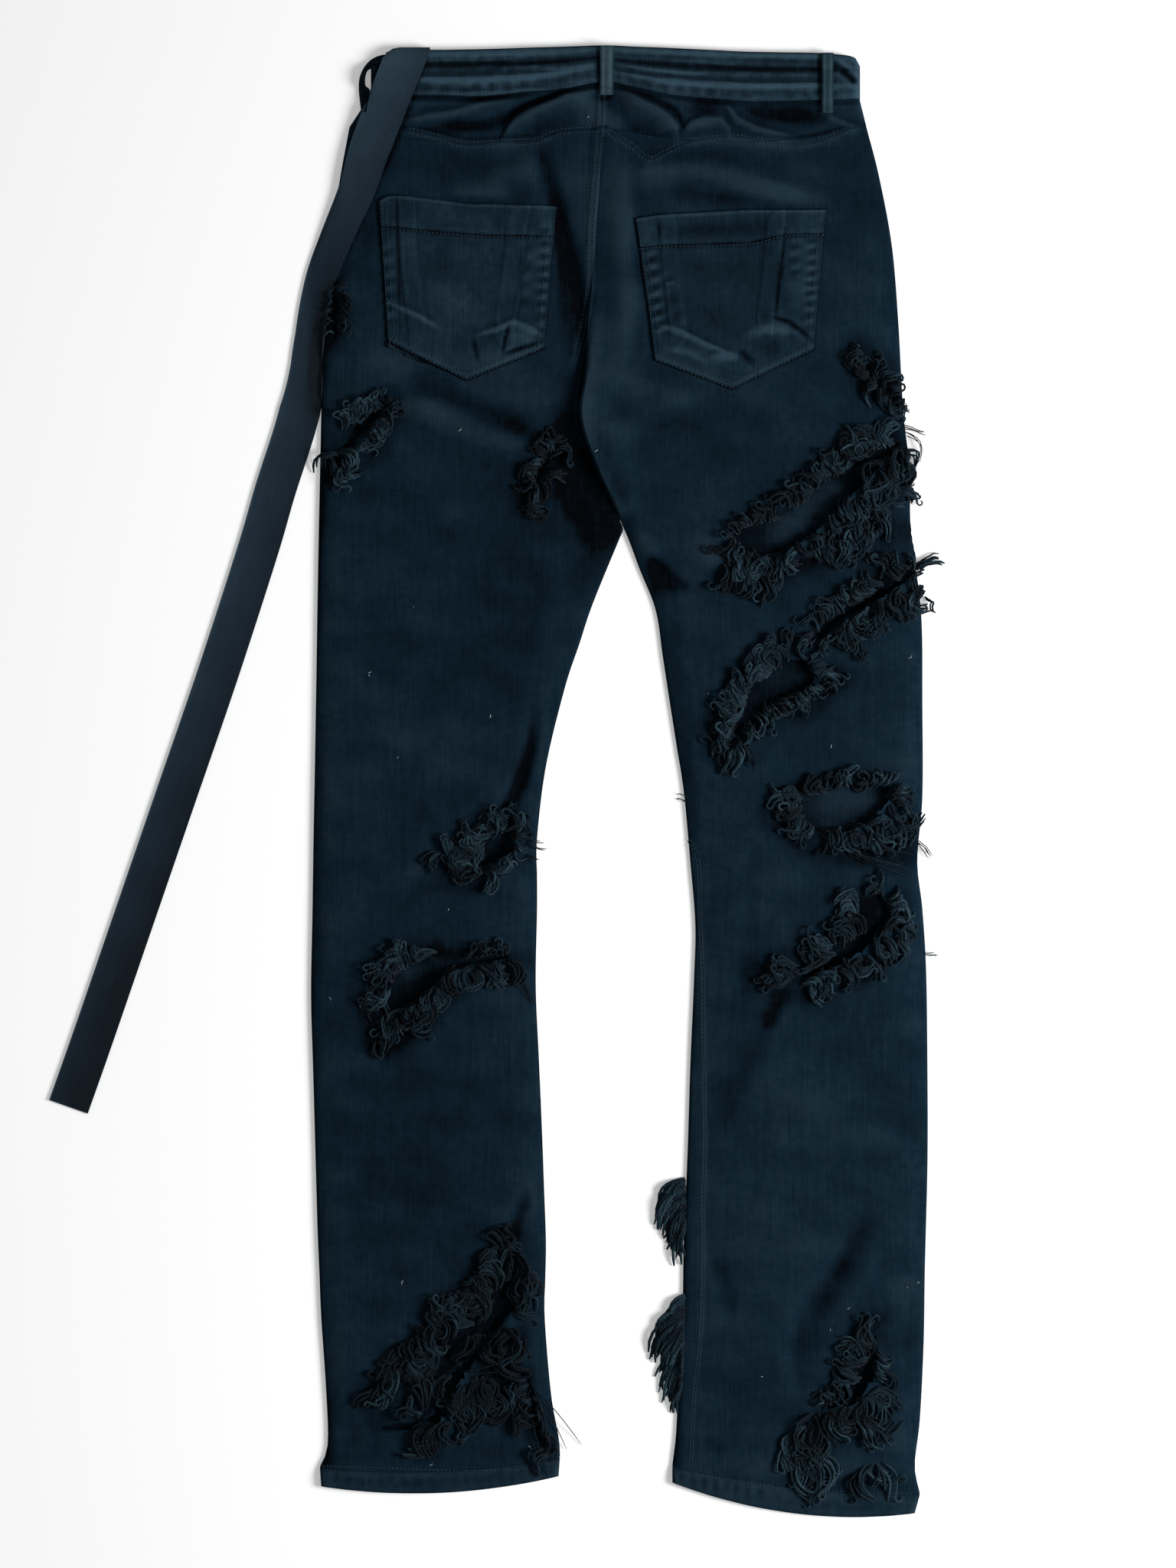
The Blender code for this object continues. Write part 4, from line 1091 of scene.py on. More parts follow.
STRAP_WEBBING = WebbingFinish(
    "strap_webbing", (0.0026, 0.0070, 0.0124), (0.0095, 0.0225, 0.0370), (0.0240, 0.0490, 0.0720)
)
BUTTON_METAL = MetalFinish("button_metal", (0.09, 0.075, 0.06))


class Wardrobe:
    """Materials in use, each made once."""

    def __init__(self) -> None:
        """Starts with none."""
        self.made: dict[str, bpy.types.Material] = {}

    def of(self, finish: object) -> bpy.types.Material:
        """The material of a finish."""
        if finish.name not in self.made:
            self.made[finish.name] = finish.material()
        return self.made[finish.name]


finishes = Wardrobe()


# ---------------------------------------------------------------- yarns and threads

class YarnBundle:
    """Many round yarns gathered into one mesh."""

    SIDES = 6

    def __init__(self) -> None:
        """Starts with none."""
        self.places: list[Array] = []
        self.faces: list[Array] = []
        self.corners: list[Array] = []
        self.wear_and_shade: list[Array] = []
        self.count = 0

    def add(self, line: Array, radii: Array, shade: Array | float) -> None:
        """Adds one yarn.

        Args:
            line: Rows of x, y and z along its middle.
            radii: Its radius at each place.
            shade: How pale it is, from 0 to 1, in all or at each place.
        """
        ahead = np.gradient(line, axis=0)
        ahead /= np.maximum(np.linalg.norm(ahead, axis=1), 1e-9)[:, None]
        across = np.cross(ahead, (0.0, 0.0, 1.0))
        across /= np.maximum(np.linalg.norm(across, axis=1), 1e-9)[:, None]
        above = np.cross(across, ahead)
        n, stations = self.SIDES, len(line)
        turn = 2 * math.pi * np.arange(n) / n
        ring = np.cos(turn)[None, :, None] * across[:, None] + np.sin(turn)[None, :, None] * above[:, None]
        self.places.append((line[:, None] + radii[:, None, None] * ring).reshape(-1, 3))
        i, k = np.meshgrid(np.arange(stations - 1), np.arange(n), indexing="ij")
        i, k = i.ravel(), k.ravel()
        m = (k + 1) % n
        sides = np.stack([i * n + k, i * n + m, (i + 1) * n + m, (i + 1) * n + k], axis=1)
        ends = np.array([[0, 3, 2, 1], [0, 5, 4, 3], [0, 1, 2, 3], [0, 3, 4, 5]])
        ends[2:] += (stations - 1) * n
        self.faces.append(np.vstack([sides, ends]) + self.count)
        run, around = lengths_along(line), 2 * math.pi * float(radii.max()) / n
        u, v = np.stack([k, k + 1, k + 1, k], axis=1) * around, run[np.stack([i, i, i + 1, i + 1], axis=1)]
        self.corners.append(np.vstack([np.stack([u, v], axis=2).reshape(-1, 2), np.zeros((16, 2))]))
        self.wear_and_shade.append(np.repeat(np.broadcast_to(shade, stations), n))
        self.count += stations * n

    def piece(self, name: str, finish: object) -> bpy.types.Object:
        """Makes the bundle one smooth piece."""
        wear_and_shade = np.clip(np.concatenate(self.wear_and_shade), 0, 1)
        places, faces, corners = (np.vstack(rows) for rows in (self.places, self.faces, self.corners))
        obj = make_piece(name, places, faces, finishes.of(finish), wear_and_shade, corners)
        select_only(obj)
        bpy.ops.object.shade_smooth()
        return obj


@dataclass(frozen=True)
class Clump:
    """Yarns frayed out side by side from a stretch of a rip's rim.

    Attributes:
        root: The two ends of the stretch that they start from.
        sweep: How far the first and the last of them reach.
        count: How many there are.
        bow: How far they bend to the left of their way, as a share of their length.
        yarn: How they end.
        shade: How much paler they are than the rest, or darker where it is negative.
    """

    root: Route
    sweep: Route
    count: int
    bow: float = 0.0
    yarn: Yarn = Yarn.TUFT
    shade: float = 0.0


LOOP, TUFT, WISP = Yarn.LOOP, Yarn.TUFT, Yarn.WISP


def gathered(*rows: tuple) -> tuple[Clump, ...]:
    """Clumps from rows of their root, sweep, count and the rest."""
    return tuple(Clump(*row) for row in rows)



# Frayed yarns of every rip, listed clump by clump
FRAYS = {
    "fray_left_hip": gathered(
        (((-119, 385), (-118, 350)), ((8, 2), (7, -6)), 14, 0.4, LOOP),
        (((-125, 385), (-126, 352)), ((-3, -6), (-3, -6)), 8),
    ),
    "fray_left_thigh": gathered(
        (((-118, 276), (-96, 290), (-84, 296)), ((-4, 14), (8, 12)), 22, 0.5, LOOP),
        (((-84, 296), (-78, 292)), ((10, 2), (10, 2)), 6),
        (((-104, 266), (-88, 282)), ((16, -8), (14, 4)), 20, -0.4),
        (((-126, 250), (-106, 264)), ((6, -20), (16, -16)), 20, 0.3),
        (((-126, 240), (-108, 248)), ((4, -14), (4, -14)), 12),
        (((-110, 284), (-94, 292)), ((-8, 8), (0, 14)), 16, 0.5),
        (((-98, 272), (-84, 288)), ((10, -12), (14, -4)), 16, -0.3),
    ),
    "fray_left_inner_thigh": gathered(
        (((56, 272), (44, 258)), ((-12, 4), (-12, 4)), 10, -0.4),
        (((42, 256), (33, 240)), ((-16, 4), (-14, -4)), 16, -0.5),
        (((50, 262), (40, 244)), ((16, -4), (16, -4)), 14, 0.3),
        (((34, 238), (28, 226)), ((-8, -16), (-8, -16)), 12, 0.3),
        (((40, 240), (32, 224)), ((8, -18), (8, -18)), 10, -0.3),
    ),
    "fray_left_knee": gathered(
        (((8, -36), (2, -42)), ((-14, 14), (-18, 8)), 14, -0.6),
        (((12, -34), (15, -26)), ((-4, 12), (6, 8)), 10),
        (((-8, -52), (-6, -60)), ((-52, -6), (-30, -10)), 26, -0.3, LOOP),
        (((-8, -66), (-14, -70)), ((-28, -4), (-22, -12)), 14, 0.2),
        (((17, -32), (17, -52)), ((12, 6), (12, -10)), 16, 0.3),
        (((2, -40), (-8, -52)), ((-22, 10), (-34, 4)), 26, -0.3),
        (((12, -28), (4, -38)), ((-8, 16), (-14, 12)), 16, 0.4),
        (((14, -56), (-8, -70)), ((10, -14), (2, -16)), 18, 0.3, LOOP),
        (((28, -46), (28, -48)), ((15, -3), (15, -3)), 3, 0.0, WISP),
        (((28, -58), (28, -60)), ((8, -4), (8, -4)), 3, 0.0, WISP),
    ),
    "fray_left_shin": gathered(
        (((-44, -134), (-60, -140)), ((-10, 16), (-26, 12)), 20, 0.3, LOOP),
        (((-60, -141), (-76, -150)), ((-32, 8), (-28, -2)), 26, -0.35),
        (((-76, -150), (-82, -168)), ((-24, -16), (-20, -26)), 22, -0.3),
        (((-72, -146), (-74, -148)), ((-28, -38), (-28, -38)), 3, -0.35, WISP),
        (((-38, -155), (-56, -170)), ((0, -24), (-4, -26)), 24, 0.15, LOOP),
        (((-56, -172), (-84, -192)), ((0, -24), (-10, -18)), 30),
        (((-62, -186), (-90, -198)), ((0, -20), (0, -20)), 16),
        (((-34, -145), (14, -140)), ((0, -24), (6, -24)), 40, 0.2, LOOP),
        (((-22, -138), (12, -134)), ((4, 10), (-2, 10)), 18, 0.4),
        (((8, -132), (12, -134)), ((24, -42), (24, -42)), 4, 0.1, WISP),
    ),
    "fray_left_hem": gathered(
        (((14, -364), (10, -372)), ((2, 14), (-10, 12)), 10),
        (((9, -374), (4, -398)), ((-8, 24), (-14, 26)), 30, -0.25, LOOP),
        (((3, -400), (-4, -424)), ((-18, 24), (-22, 24)), 26, 0.2),
        (((-6, -428), (-28, -432)), ((-14, 32), (-16, 34)), 27, -0.2, LOOP),
        (((-28, -434), (-40, -450)), ((-14, 34), (-16, 32)), 27, 0.2),
        (((-42, -452), (-46, -472)), ((-26, 22), (-28, 22)), 22, 0.3, LOOP),
        (((-66, -444), (-80, -450)), ((-16, -26), (-16, -30)), 20, -0.15),
        (((-76, -456), (-90, -478)), ((-12, -26), (-8, -24)), 22, 0.2),
        (((-48, -480), (-56, -498)), ((-24, 14), (-26, 4)), 16, 0.4, LOOP),
        (((4, -430), (16, -428)), ((-8, -24), (2, -26)), 12, 0.2),
        (((-28, -461), (-28, -463)), ((44, 1), (44, 1)), 2, 0.0, WISP),
        (((-36, -466), (-4, -464)), ((0, -36), (4, -40)), 33, 0.1, LOOP),
        (((-30, -484), (-10, -484)), ((2, -28), (4, -30)), 16, -0.1),
        (((-50, -505), (-26, -500)), ((-8, -26), (2, -28)), 22, 0.1, LOOP),
        (((2, -466), (16, -470)), ((2, -42), (8, -44)), 16, 0.1),
        (((19, -364), (22, -396)), ((6, -44), (10, -30)), 14, -0.1),
        (((22, -384), (24, -408)), ((10, -18), (8, -22)), 12),
        # these two clumps are darkened as painted shade where the rip's crevice lies
        (((-22, -436), (16, -428)), ((0, -22), (8, -26)), 28, 0.2, TUFT, -0.3),
        (((14, -440), (24, -430)), ((4, -34), (10, -36)), 14, 0.2, TUFT, -0.3),
        (((-8, -376), (-20, -396), (-40, -420)), ((-12, -10), (-16, -12)), 26, 0.4),
        (((-44, -428), (-70, -440)), ((-12, -14), (-16, -16)), 20, 0.4),
    ),
    "fray_left_hem_inner": gathered(
        (((27, -466), (30, -478)), ((20, -66), (18, -60)), 6, 0.08, WISP),
        (((26, -470), (34, -505)), ((-12, -14), (-8, -18)), 16, 0.2, LOOP),
        (((30, -474), (40, -515)), ((10, -12), (8, -16)), 14),
        (((42, -522), (46, -528)), ((8, -16), (8, -16)), 6),
    ),
    "fray_right_hip": gathered(
        (((288, 332), (300, 320)), ((-6, 12), (2, 14)), 12, 0.4),
        (((300, 319), (314, 300)), ((12, 8), (10, 8)), 12),
        (((288, 328), (302, 308)), ((-8, -8), (-6, -14)), 16, -0.4),
        (((304, 308), (315, 294)), ((4, -16), (8, -12)), 12),
        (((282, 330), (296, 316)), ((-4, 14), (6, 14)), 14, 0.4),
        (((318, 300), (320, 296)), ((8, -8), (8, -8)), 4, 0.0, WISP),
    ),
    "fray_right_thigh": gathered(
        (((316, 266), (296, 262), (288, 256)), ((-2, 18), (-14, 16)), 26, 0.4, LOOP),
        (((300, 262), (286, 254)), ((-16, 4), (-16, 4)), 10),
        (((280, 250), (262, 236)), ((-8, 16), (-18, 8)), 26, 0.4),
        (((254, 230), (234, 214)), ((-10, 12), (-20, 8)), 24, 0.4),
        (((228, 208), (200, 202)), ((-8, 12), (-14, 8)), 26, 0.4),
        (((198, 202), (186, 194)), ((-10, 6), (-6, -4)), 12),
        (((186, 190), (196, 182)), ((-12, -8), (-8, -20)), 20, 0.5),
        (((196, 180), (222, 176)), ((-6, -28), (4, -30)), 34, 0.3, LOOP),
        (((222, 177), (242, 188)), ((2, -24), (8, -22)), 22),
        (((186, 168), (214, 156)), ((-8, -16), (4, -18)), 22, 0.3),
        (((246, 190), (276, 218)), ((14, -26), (16, -24)), 34, 0.2),
        (((262, 186), (290, 206)), ((12, -24), (14, -22)), 26),
        (((276, 218), (304, 246)), ((16, -24), (16, -22)), 30),
        (((304, 246), (318, 262)), ((14, -24), (14, -20)), 22),
        (((316, 250), (326, 262)), ((8, -26), (8, -26)), 14),
        (((272, 206), (294, 226)), ((24, -26), (22, -34)), 30, 0.2),
        (((302, 264), (282, 252)), ((-14, 26), (-14, 22)), 24, 0.6),
        (((276, 250), (250, 232)), ((-10, 16), (-14, 12)), 28, 0.4),
        (((180, 180), (208, 172)), ((-4, -34), (8, -40)), 24, 0.3),
        (((248, 190), (296, 212)), ((8, -28), (14, -36)), 34, 0.2),
        (((294, 226), (318, 250)), ((12, -36), (4, -38)), 32, 0.2),
        (((322, 279), (324, 277)), ((18, -6), (18, -6)), 3, 0.0, WISP),
        (((324, 273), (326, 271)), ((11, -22), (11, -22)), 3, 0.5, WISP),
    ),
    "fray_right_inner_thigh": gathered(
        (((330, 168), (304, 153)), ((-10, 14), (-16, 20)), 32, -0.3),
        (((300, 150), (278, 138)), ((-14, 18), (-12, 16)), 26, -0.2),
        (((276, 136), (256, 122)), ((-14, 12), (-18, 6)), 26, -0.3),
        (((254, 120), (248, 110)), ((-14, 4), (-10, -8)), 14),
        (((332, 158), (300, 140)), ((8, -30), (6, -28)), 36, -0.15),
        (((298, 138), (270, 120)), ((6, -24), (2, -22)), 34, 0.3, LOOP),
        (((270, 120), (256, 108)), ((0, -16), (-6, -14)), 16),
        (((268, 106), (290, 104)), ((4, -10), (4, -10)), 8, 0.6, LOOP),
        (((330, 172), (334, 166)), ((18, -20), (18, -20)), 7, -0.1),
        (((334, 156), (337, 150)), ((10, -22), (10, -22)), 7),
    ),
    "fray_right_above_knee": gathered(
        (((236, 98), (214, 82)), ((-16, 22), (-14, 18)), 22, -0.3, LOOP),
        (((206, 78), (194, 58)), ((-18, 14), (-20, 10)), 26, -0.2, LOOP),
        (((192, 54), (184, 30)), ((-20, 4), (-16, -8)), 26, 0.4),
        (((244, 98), (258, 80)), ((14, 8), (16, -6)), 24, 0.4),
        (((254, 92), (262, 72)), ((14, -2), (14, -2)), 12),
        (((214, 58), (250, 70)), ((10, -12), (14, -10)), 26, -0.3),
        (((202, 48), (188, 26)), ((10, -14), (6, -20)), 26, 0.2),
        (((186, 22), (192, 28)), ((-12, -18), (10, -22)), 24, 0.4),
        (((197, 68), (185, 32)), ((-24, 2), (-18, -10)), 32, 0.9),
        (((206, 50), (250, 70)), ((8, -16), (14, -8)), 30, 0.3),
        (((224, 92), (210, 78)), ((-10, 24), (-16, 16)), 20, -0.5, LOOP),
        (((151, -12), (151, -16)), ((-7, 2), (-7, 2)), 3, 0.0, WISP),
    ),
    "fray_right_knee": gathered(
        (((250, -8), (282, -2)), ((-2, 14), (4, 12)), 24, 0.5, LOOP),
        (((284, -2), (308, -2)), ((2, 12), (6, 12)), 18, 0.4),
        (((244, -12), (240, -24)), ((-30, 10), (-28, -6)), 30, -0.3),
        (((242, -26), (252, -38)), ((-26, -10), (-14, -18)), 24, 0.2),
        (((254, -40), (276, -38)), ((4, -20), (12, -20)), 22),
        (((276, -38), (304, -22)), ((22, -30), (28, -26)), 36, 0.1),
        (((308, -16), (311, -4)), ((26, -22), (24, -4)), 24),
        (((274, -54), (280, -52)), ((48, -16), (48, -16)), 6, -0.1, WISP),
        (((300, -30), (320, -24)), ((16, -26), (16, -26)), 20),
        (((334, -46), (336, -50)), ((10, -12), (10, -12)), 4, 0.0, WISP),
    ),
    "fray_right_below_knee": gathered(
        (((298, -88), (306, -88)), ((-14, 12), (6, 14)), 14),
        (((286, -94), (284, -112)), ((-14, 10), (-18, 2)), 24, -0.4, LOOP),
        (((290, -118), (282, -124)), ((-18, 8), (-18, 8)), 12),
        (((280, -128), (262, -138)), ((-22, 22), (-24, 18)), 28, -0.2),
        (((258, -142), (242, -150)), ((-26, 12), (-30, 4)), 26, -0.4),
        (((240, -152), (236, -154)), ((-40, 4), (-34, -8)), 20),
        (((240, -155), (262, -148)), ((6, -26), (14, -26)), 26),
        (((264, -147), (290, -132)), ((14, -24), (18, -22)), 28),
        (((296, -128), (314, -108)), ((20, -30), (22, -20)), 34, 0.15),
        (((314, -104), (310, -90)), ((14, 0), (10, 8)), 14),
        (((338, -134), (339, -136)), ((9, -1), (9, -1)), 3, 0.0, WISP),
    ),
    "fray_right_shin": gathered(
        (((298, -436), (296, -442)), ((-10, 18), (4, 20)), 14, 0.5),
        (((294, -446), (292, -456)), ((-26, 10), (-28, 0)), 24, -0.3),
        (((288, -464), (276, -476)), ((-22, 8), (-26, 0)), 24, -0.3),
        (((272, -480), (258, -489)), ((-16, 8), (-10, -4)), 18, -0.5),
        (((302, -446), (302, -466)), ((12, -4), (12, -16)), 16, 0.3),
        (((298, -474), (284, -486)), ((10, -32), (8, -34)), 20, 0.1, LOOP),
        (((294, -490), (284, -496)), ((12, -42), (10, -42)), 20, 0.1),
        (((256, -492), (240, -500)), ((-4, -34), (-2, -38)), 24, 0.1),
        (((282, -488), (262, -494)), ((10, -38), (4, -30)), 26),
    ),
    "fray_right_hem": gathered(
        (((234, -528), (254, -526)), ((4, -38), (12, -36)), 26),
        (((236, -506), (252, -504)), ((-2, -34), (8, -34)), 22, 0.0, LOOP),
        (((288, -538), (304, -536)), ((0, -26), (8, -28)), 18),
    ),
    "fray_right_calf_edge": gathered(
        (((151, -311), (151, -319)), ((-17, -18), (-23, -26)), 40, -0.4),
        (((151, -315), (151, -329)), ((-13, -14), (-19, -25)), 44, -0.35),
        (((151, -321), (151, -337)), ((-11, -20), (-14, -29)), 44, -0.3),
        (((151, -329), (151, -350)), ((-8, -20), (-6, -27)), 44, -0.2),
    ),
    "fray_right_hem_edge": gathered(
        (((151, -402), (150.5, -416)), ((-10, -16), (-17, -20)), 36, -0.4),
        (((150.5, -410), (150, -426)), ((-21, -26), (-22, -31)), 44, -0.35),
        (((150.5, -416), (150, -442)), ((-14, -26), (-16, -32)), 50, -0.3),
        (((150, -428), (149, -456)), ((-11, -26), (-11, -33)), 50, -0.2),
        (((149.5, -444), (148, -474)), ((-6, -20), (-5, -22)), 40, -0.15),
    ),
}

# How the yarns of a rip differ from the usual: their paleness, number, length and start inside the rip
EDGE_TUFT = {
    "shade": 0.05, "stray": 0.03, "ringlets": 0.0, "thick": 1.3, "overhang": 0.0, "scatter": 0.3,
    "longest": 60.0,
}
HABITS = {
    "fray_left_hip": {"shade": -0.1},
    "fray_left_thigh": {"shade": 0.12, "fullness": 1.5},
    "fray_left_inner_thigh": {"shade": -0.2, "overhang": 1.0, "fullness": 1.5},
    "fray_left_knee": {"shade": 0.06, "fullness": 1.3},
    "fray_left_shin": {"overhang": 0.8},
    "fray_left_hem": {"shade": -0.2, "overhang": 0.8, "longest": 25.0},
    "fray_left_hem_inner": {"shade": -0.24, "longest": 40.0},
    "fray_right_hip": {"shade": -0.2, "fullness": 1.5},
    "fray_right_thigh": {"shade": -0.05},
    "fray_right_inner_thigh": {"shade": -0.05},
    "fray_right_above_knee": {"shade": 0.05},
    "fray_right_below_knee": {"overhang": 0.8},
    "fray_right_shin": {"shade": -0.06, "longest": 25.0},
    "fray_right_hem": {"shade": 0.14, "longest": 34.0},
    "fray_right_calf_edge": EDGE_TUFT,
    "fray_right_hem_edge": EDGE_TUFT,
}


@dataclass(frozen=True)
class Lock:
    """What a few neighbouring yarns have in common."""

    sweep: Array
    start: Array
    bow: float
    curl: float
    turns: float
    phase: float
    layer: float
    shade: float

    @classmethod
    def drawn(
        cls, draw: np.random.Generator, sweep: Array, bow: float, stray: float, longest: float
    ) -> "Lock":
        """Draws a lock that roughly follows a sweep and a bow, or now and then strays from them.

        Args:
            draw: Source of random numbers.
            sweep: How far its clump reaches here.
            bow: How far the yarns of its clump bend.
            stray: How unlike each other locks are.
            longest: Greatest length of its yarns; on a longer sweep it starts some way along.

        Returns:
            The lock.
        """
        short = min(1.0, draw.uniform(0.62, 1.15) * longest / max(float(np.hypot(*sweep)), 1.0))
        start = draw.uniform(0, 1 - short) * sweep if short < 1 else 0 * sweep
        turn = draw.normal(0, stray)
        if stray > 0.1 and draw.random() < stray:
            turn = draw.choice((-1, 1)) * draw.uniform(0.6, 1.4)
        reach = draw.uniform(0.95 - stray, 1.02) * short
        bend = draw.choice((-1, 1)) * draw.uniform(0.3, 1.25) * 4 * stray
        return cls(
            turned(sweep, turn) * reach, start, 0.5 * bow + bend if stray > 0.1 else bow,
            draw.uniform(0.6, 2.4), draw.uniform(0.6, 1.4), draw.uniform(0, 2 * math.pi),
            draw.uniform(0, 2.4), draw.normal(0.46, 0.18),
        )

    def varied(self, draw: np.random.Generator) -> "Lock":
        """The lock as one of its yarns follows it."""
        sweep = turned(self.sweep, draw.normal(0, 0.1)) * (1 + draw.normal(0, 0.09))
        return replace(self, sweep=sweep, bow=self.bow + draw.normal(0, 0.09))


def ringlet(heading: Array, draw: np.random.Generator) -> Array:
    """Places on a small open curl that goes on in a heading from the origin."""
    radius, hand = draw.uniform(1.8, 3.0), draw.choice((-1, 1))
    ahead = heading / max(float(np.hypot(*heading)), 1e-6)
    side = hand * np.array([-ahead[1], ahead[0]])
    angle = np.radians(np.arange(45, draw.uniform(200, 330), 45))[:, None]
    return radius * (np.sin(angle) * ahead + (1 - np.cos(angle)) * side)


def turned(way: Array, angle: float) -> Array:
    """A direction turned anticlockwise by radians."""
    cos, sin = math.cos(angle), math.sin(angle)
    return np.array([way[0] * cos - way[1] * sin, way[0] * sin + way[1] * cos])


@dataclass
class Fraying:
    """The frayed yarns of one rip, lying on the cloth around it."""

    node: str
    clumps: Sequence[Clump]
    ground: Ground
    seed: int
    stations: int = 7
    longest: float = 20.0
    fullness: float = 1.0
    thick: float = 1.05
    thin: float = 0.4
    overhang: float = 3.0
    scatter: float = 0.8
    ringlets: float = 0.2
    shade: float = 0.0
    stray: float = 0.25

    def line(self, root: Array, lock: "Lock", split: float, curl: float, phase: float) -> Array:
        """The curled way of one yarn, moved sideways by a share of its length."""
        t = np.linspace(0, 1, self.stations)[:, None]
        length = max(float(np.hypot(*lock.sweep)), 1.0)
        side = np.array([-lock.sweep[1], lock.sweep[0]])
        wave = np.sin(2 * math.pi * lock.turns * t + phase) - math.sin(phase)
        lean = np.cos(2 * math.pi * lock.turns * t + phase) - math.cos(phase)
        bent = lock.bow * 1.6 * t * (1 - t) + split * t**1.3 + curl / length * t * wave
        return root + lock.sweep * (t + 0.6 * curl / length * t * lean) + side * bent

    def lay(
        self, bundle: YarnBundle, flat: Array, radius: float, lift: float, layer: float, shade: float
    ) -> None:
        """Adds one yarn that rises a little and comes down on the cloth."""
        floor = self.ground.along(flat)
        floor = np.maximum(floor, np.convolve(np.pad(floor, 2, mode="edge"), np.ones(5) / 5, mode="valid"))
        t = np.linspace(0, 1, len(flat))
        arch = np.sin(math.pi * t)
        height = floor + radius * 0.6 + layer * (0.3 + 0.7 * arch) + lift * arch**1.5
        height[0] -= 1.2
        radii = radius * (1 - 0.2 * t)
        radii[-1] *= 0.6
        height = np.maximum(height, 1.05 * radii)
        # darker near the root, as painted shade where the yarn dips into the rip, and unevenly paler along it
        paleness = shade - 0.34 * np.exp(-t / 0.16) + 0.12 * np.sin(9 * t + layer)
        bundle.add(np.column_stack([flat, height]), radii, paleness)

    def build(self) -> bpy.types.Object:
        """Makes the piece that stands for the rip's solid."""
        draw = np.random.default_rng(self.seed)
        bundle = YarnBundle()
        for clump in self.clumps:
            roots = smooth_route(clump.root, 3.0)
            sweeps = np.array(clump.sweep, float)
            lock, left = None, 0
            wisp = clump.yarn is Yarn.WISP
            longest = 100.0 if wisp else self.longest
            reach = float(np.hypot(*sweeps[0]))
            count = round(clump.count * self.fullness * max(1.0, 1.05 * reach / longest))
            for i in range(count):
                share = np.clip((i + draw.uniform(-0.3, 0.3)) / max(count - 1, 1), 0, 1)
                if left == 0:
                    sweep = sweeps[0] + (sweeps[-1] - sweeps[0]) * share
                    lock = Lock.drawn(draw, sweep, clump.bow, 0.05 if wisp else self.stray, longest)
                    left = int(draw.integers(3, 8))
                left -= 1
                here = lock.varied(draw)
                back = draw.uniform(-0.5, self.overhang) / max(float(np.hypot(*here.sweep)), 1.0)
                root = place_along(roots, np.array([share]))[0] + here.start + draw.normal(0, self.scatter, 2)
                root -= back * here.sweep
                shade = self.shade + clump.shade + lock.shade + draw.normal(0, 0.11)
                layer = lock.layer + draw.uniform(0, 0.8)
                lift = draw.uniform(0.6, 3.0)
                phase = lock.phase + draw.normal(0, 0.2)
                if wisp:
                    flat = self.line(root, here, 0, 0.6, phase)
                    self.lay(bundle, flat, self.thin, lift, layer, shade - 0.1)
                    continue
                radius = self.thick * draw.uniform(0.65, 1.2)
                curl = lock.curl * draw.uniform(0.6, 1.2)
                if clump.yarn is Yarn.LOOP and draw.random() < 0.8:
                    length = max(float(np.hypot(*here.sweep)), 1.0)
                    split = draw.uniform(1.5, 4.0) / length
                    there = self.line(root, here, split, 0.6 * curl, phase)
                    back = self.line(root + draw.normal(0, 0.7, 2), here, -split, 0.6 * curl, phase)[::-1]
                    middle = (there[-1] + back[0]) / 2 + draw.uniform(1.0, 2.2) * here.sweep / length
                    way = np.vstack([there, smooth_route([there[-1], middle, back[0]], 1.2)[1:-1], back])
                    way = place_along(way, np.linspace(0, 1, 2 * self.stations))
                    self.lay(bundle, way, radius * 0.92, lift * 0.8, layer, shade)
                else:
                    way = self.line(root, here, 0, curl, phase)
                    if draw.random() < self.ringlets:
                        way = np.vstack([way, ringlet(way[-1] - way[-2], draw) + way[-1]])
                    self.lay(bundle, way, radius, lift, layer, shade)
        return finish_piece(bundle.piece(f"{self.node}_yarns", FRAYED_YARN), "yarn", self.node)


@dataclass
class Topstitching:
    """Rows of sewn stitches in one mesh, laid on the finished cloth."""

    name: str
    ground: Ground
    pitch: float = 3.2
    length: float = 2.5
    radius: float = 0.34
    bundle: YarnBundle = field(default_factory=YarnBundle)

    def row(self, route: Array) -> None:
        """Adds a row of stitches along a route."""
        lengths = lengths_along(route)
        count = max(1, int(lengths[-1] / self.pitch))
        for i in range(count):
            start = i * self.pitch + 0.3
            marks = start + self.length * np.array([0.0, 0.25, 0.75, 1.0])
            if marks[-1] > lengths[-1]:
                break
            flat = np.stack([np.interp(marks, lengths, route[:, k]) for k in (0, 1)], axis=1)
            height = self.ground.along(flat) + self.radius * np.array([-0.9, 0.45, 0.45, -0.9])
            radii = self.radius * np.array([0.5, 1.0, 1.0, 0.5])
            shade = 0.45 + 0.25 * math.sin(i * 1.7) * math.sin(i * 0.61)
            self.bundle.add(np.column_stack([flat, height]), radii, shade)

    def rows(self, route: Array, *offsets: float) -> None:
        """Adds rows beside a route, to its left where an offset is positive."""
        for offset in offsets:
            self.row(beside(route, offset))

    def build(self) -> bpy.types.Object:
        """Makes the piece."""
        return finish_piece(self.bundle.piece(self.name, SEWING_THREAD), "denim")


# ---------------------------------------------------------------- the garment's cloth

EDGE_STEPS = (0.0, 0.5, 1.2, 2.2, 3.6)


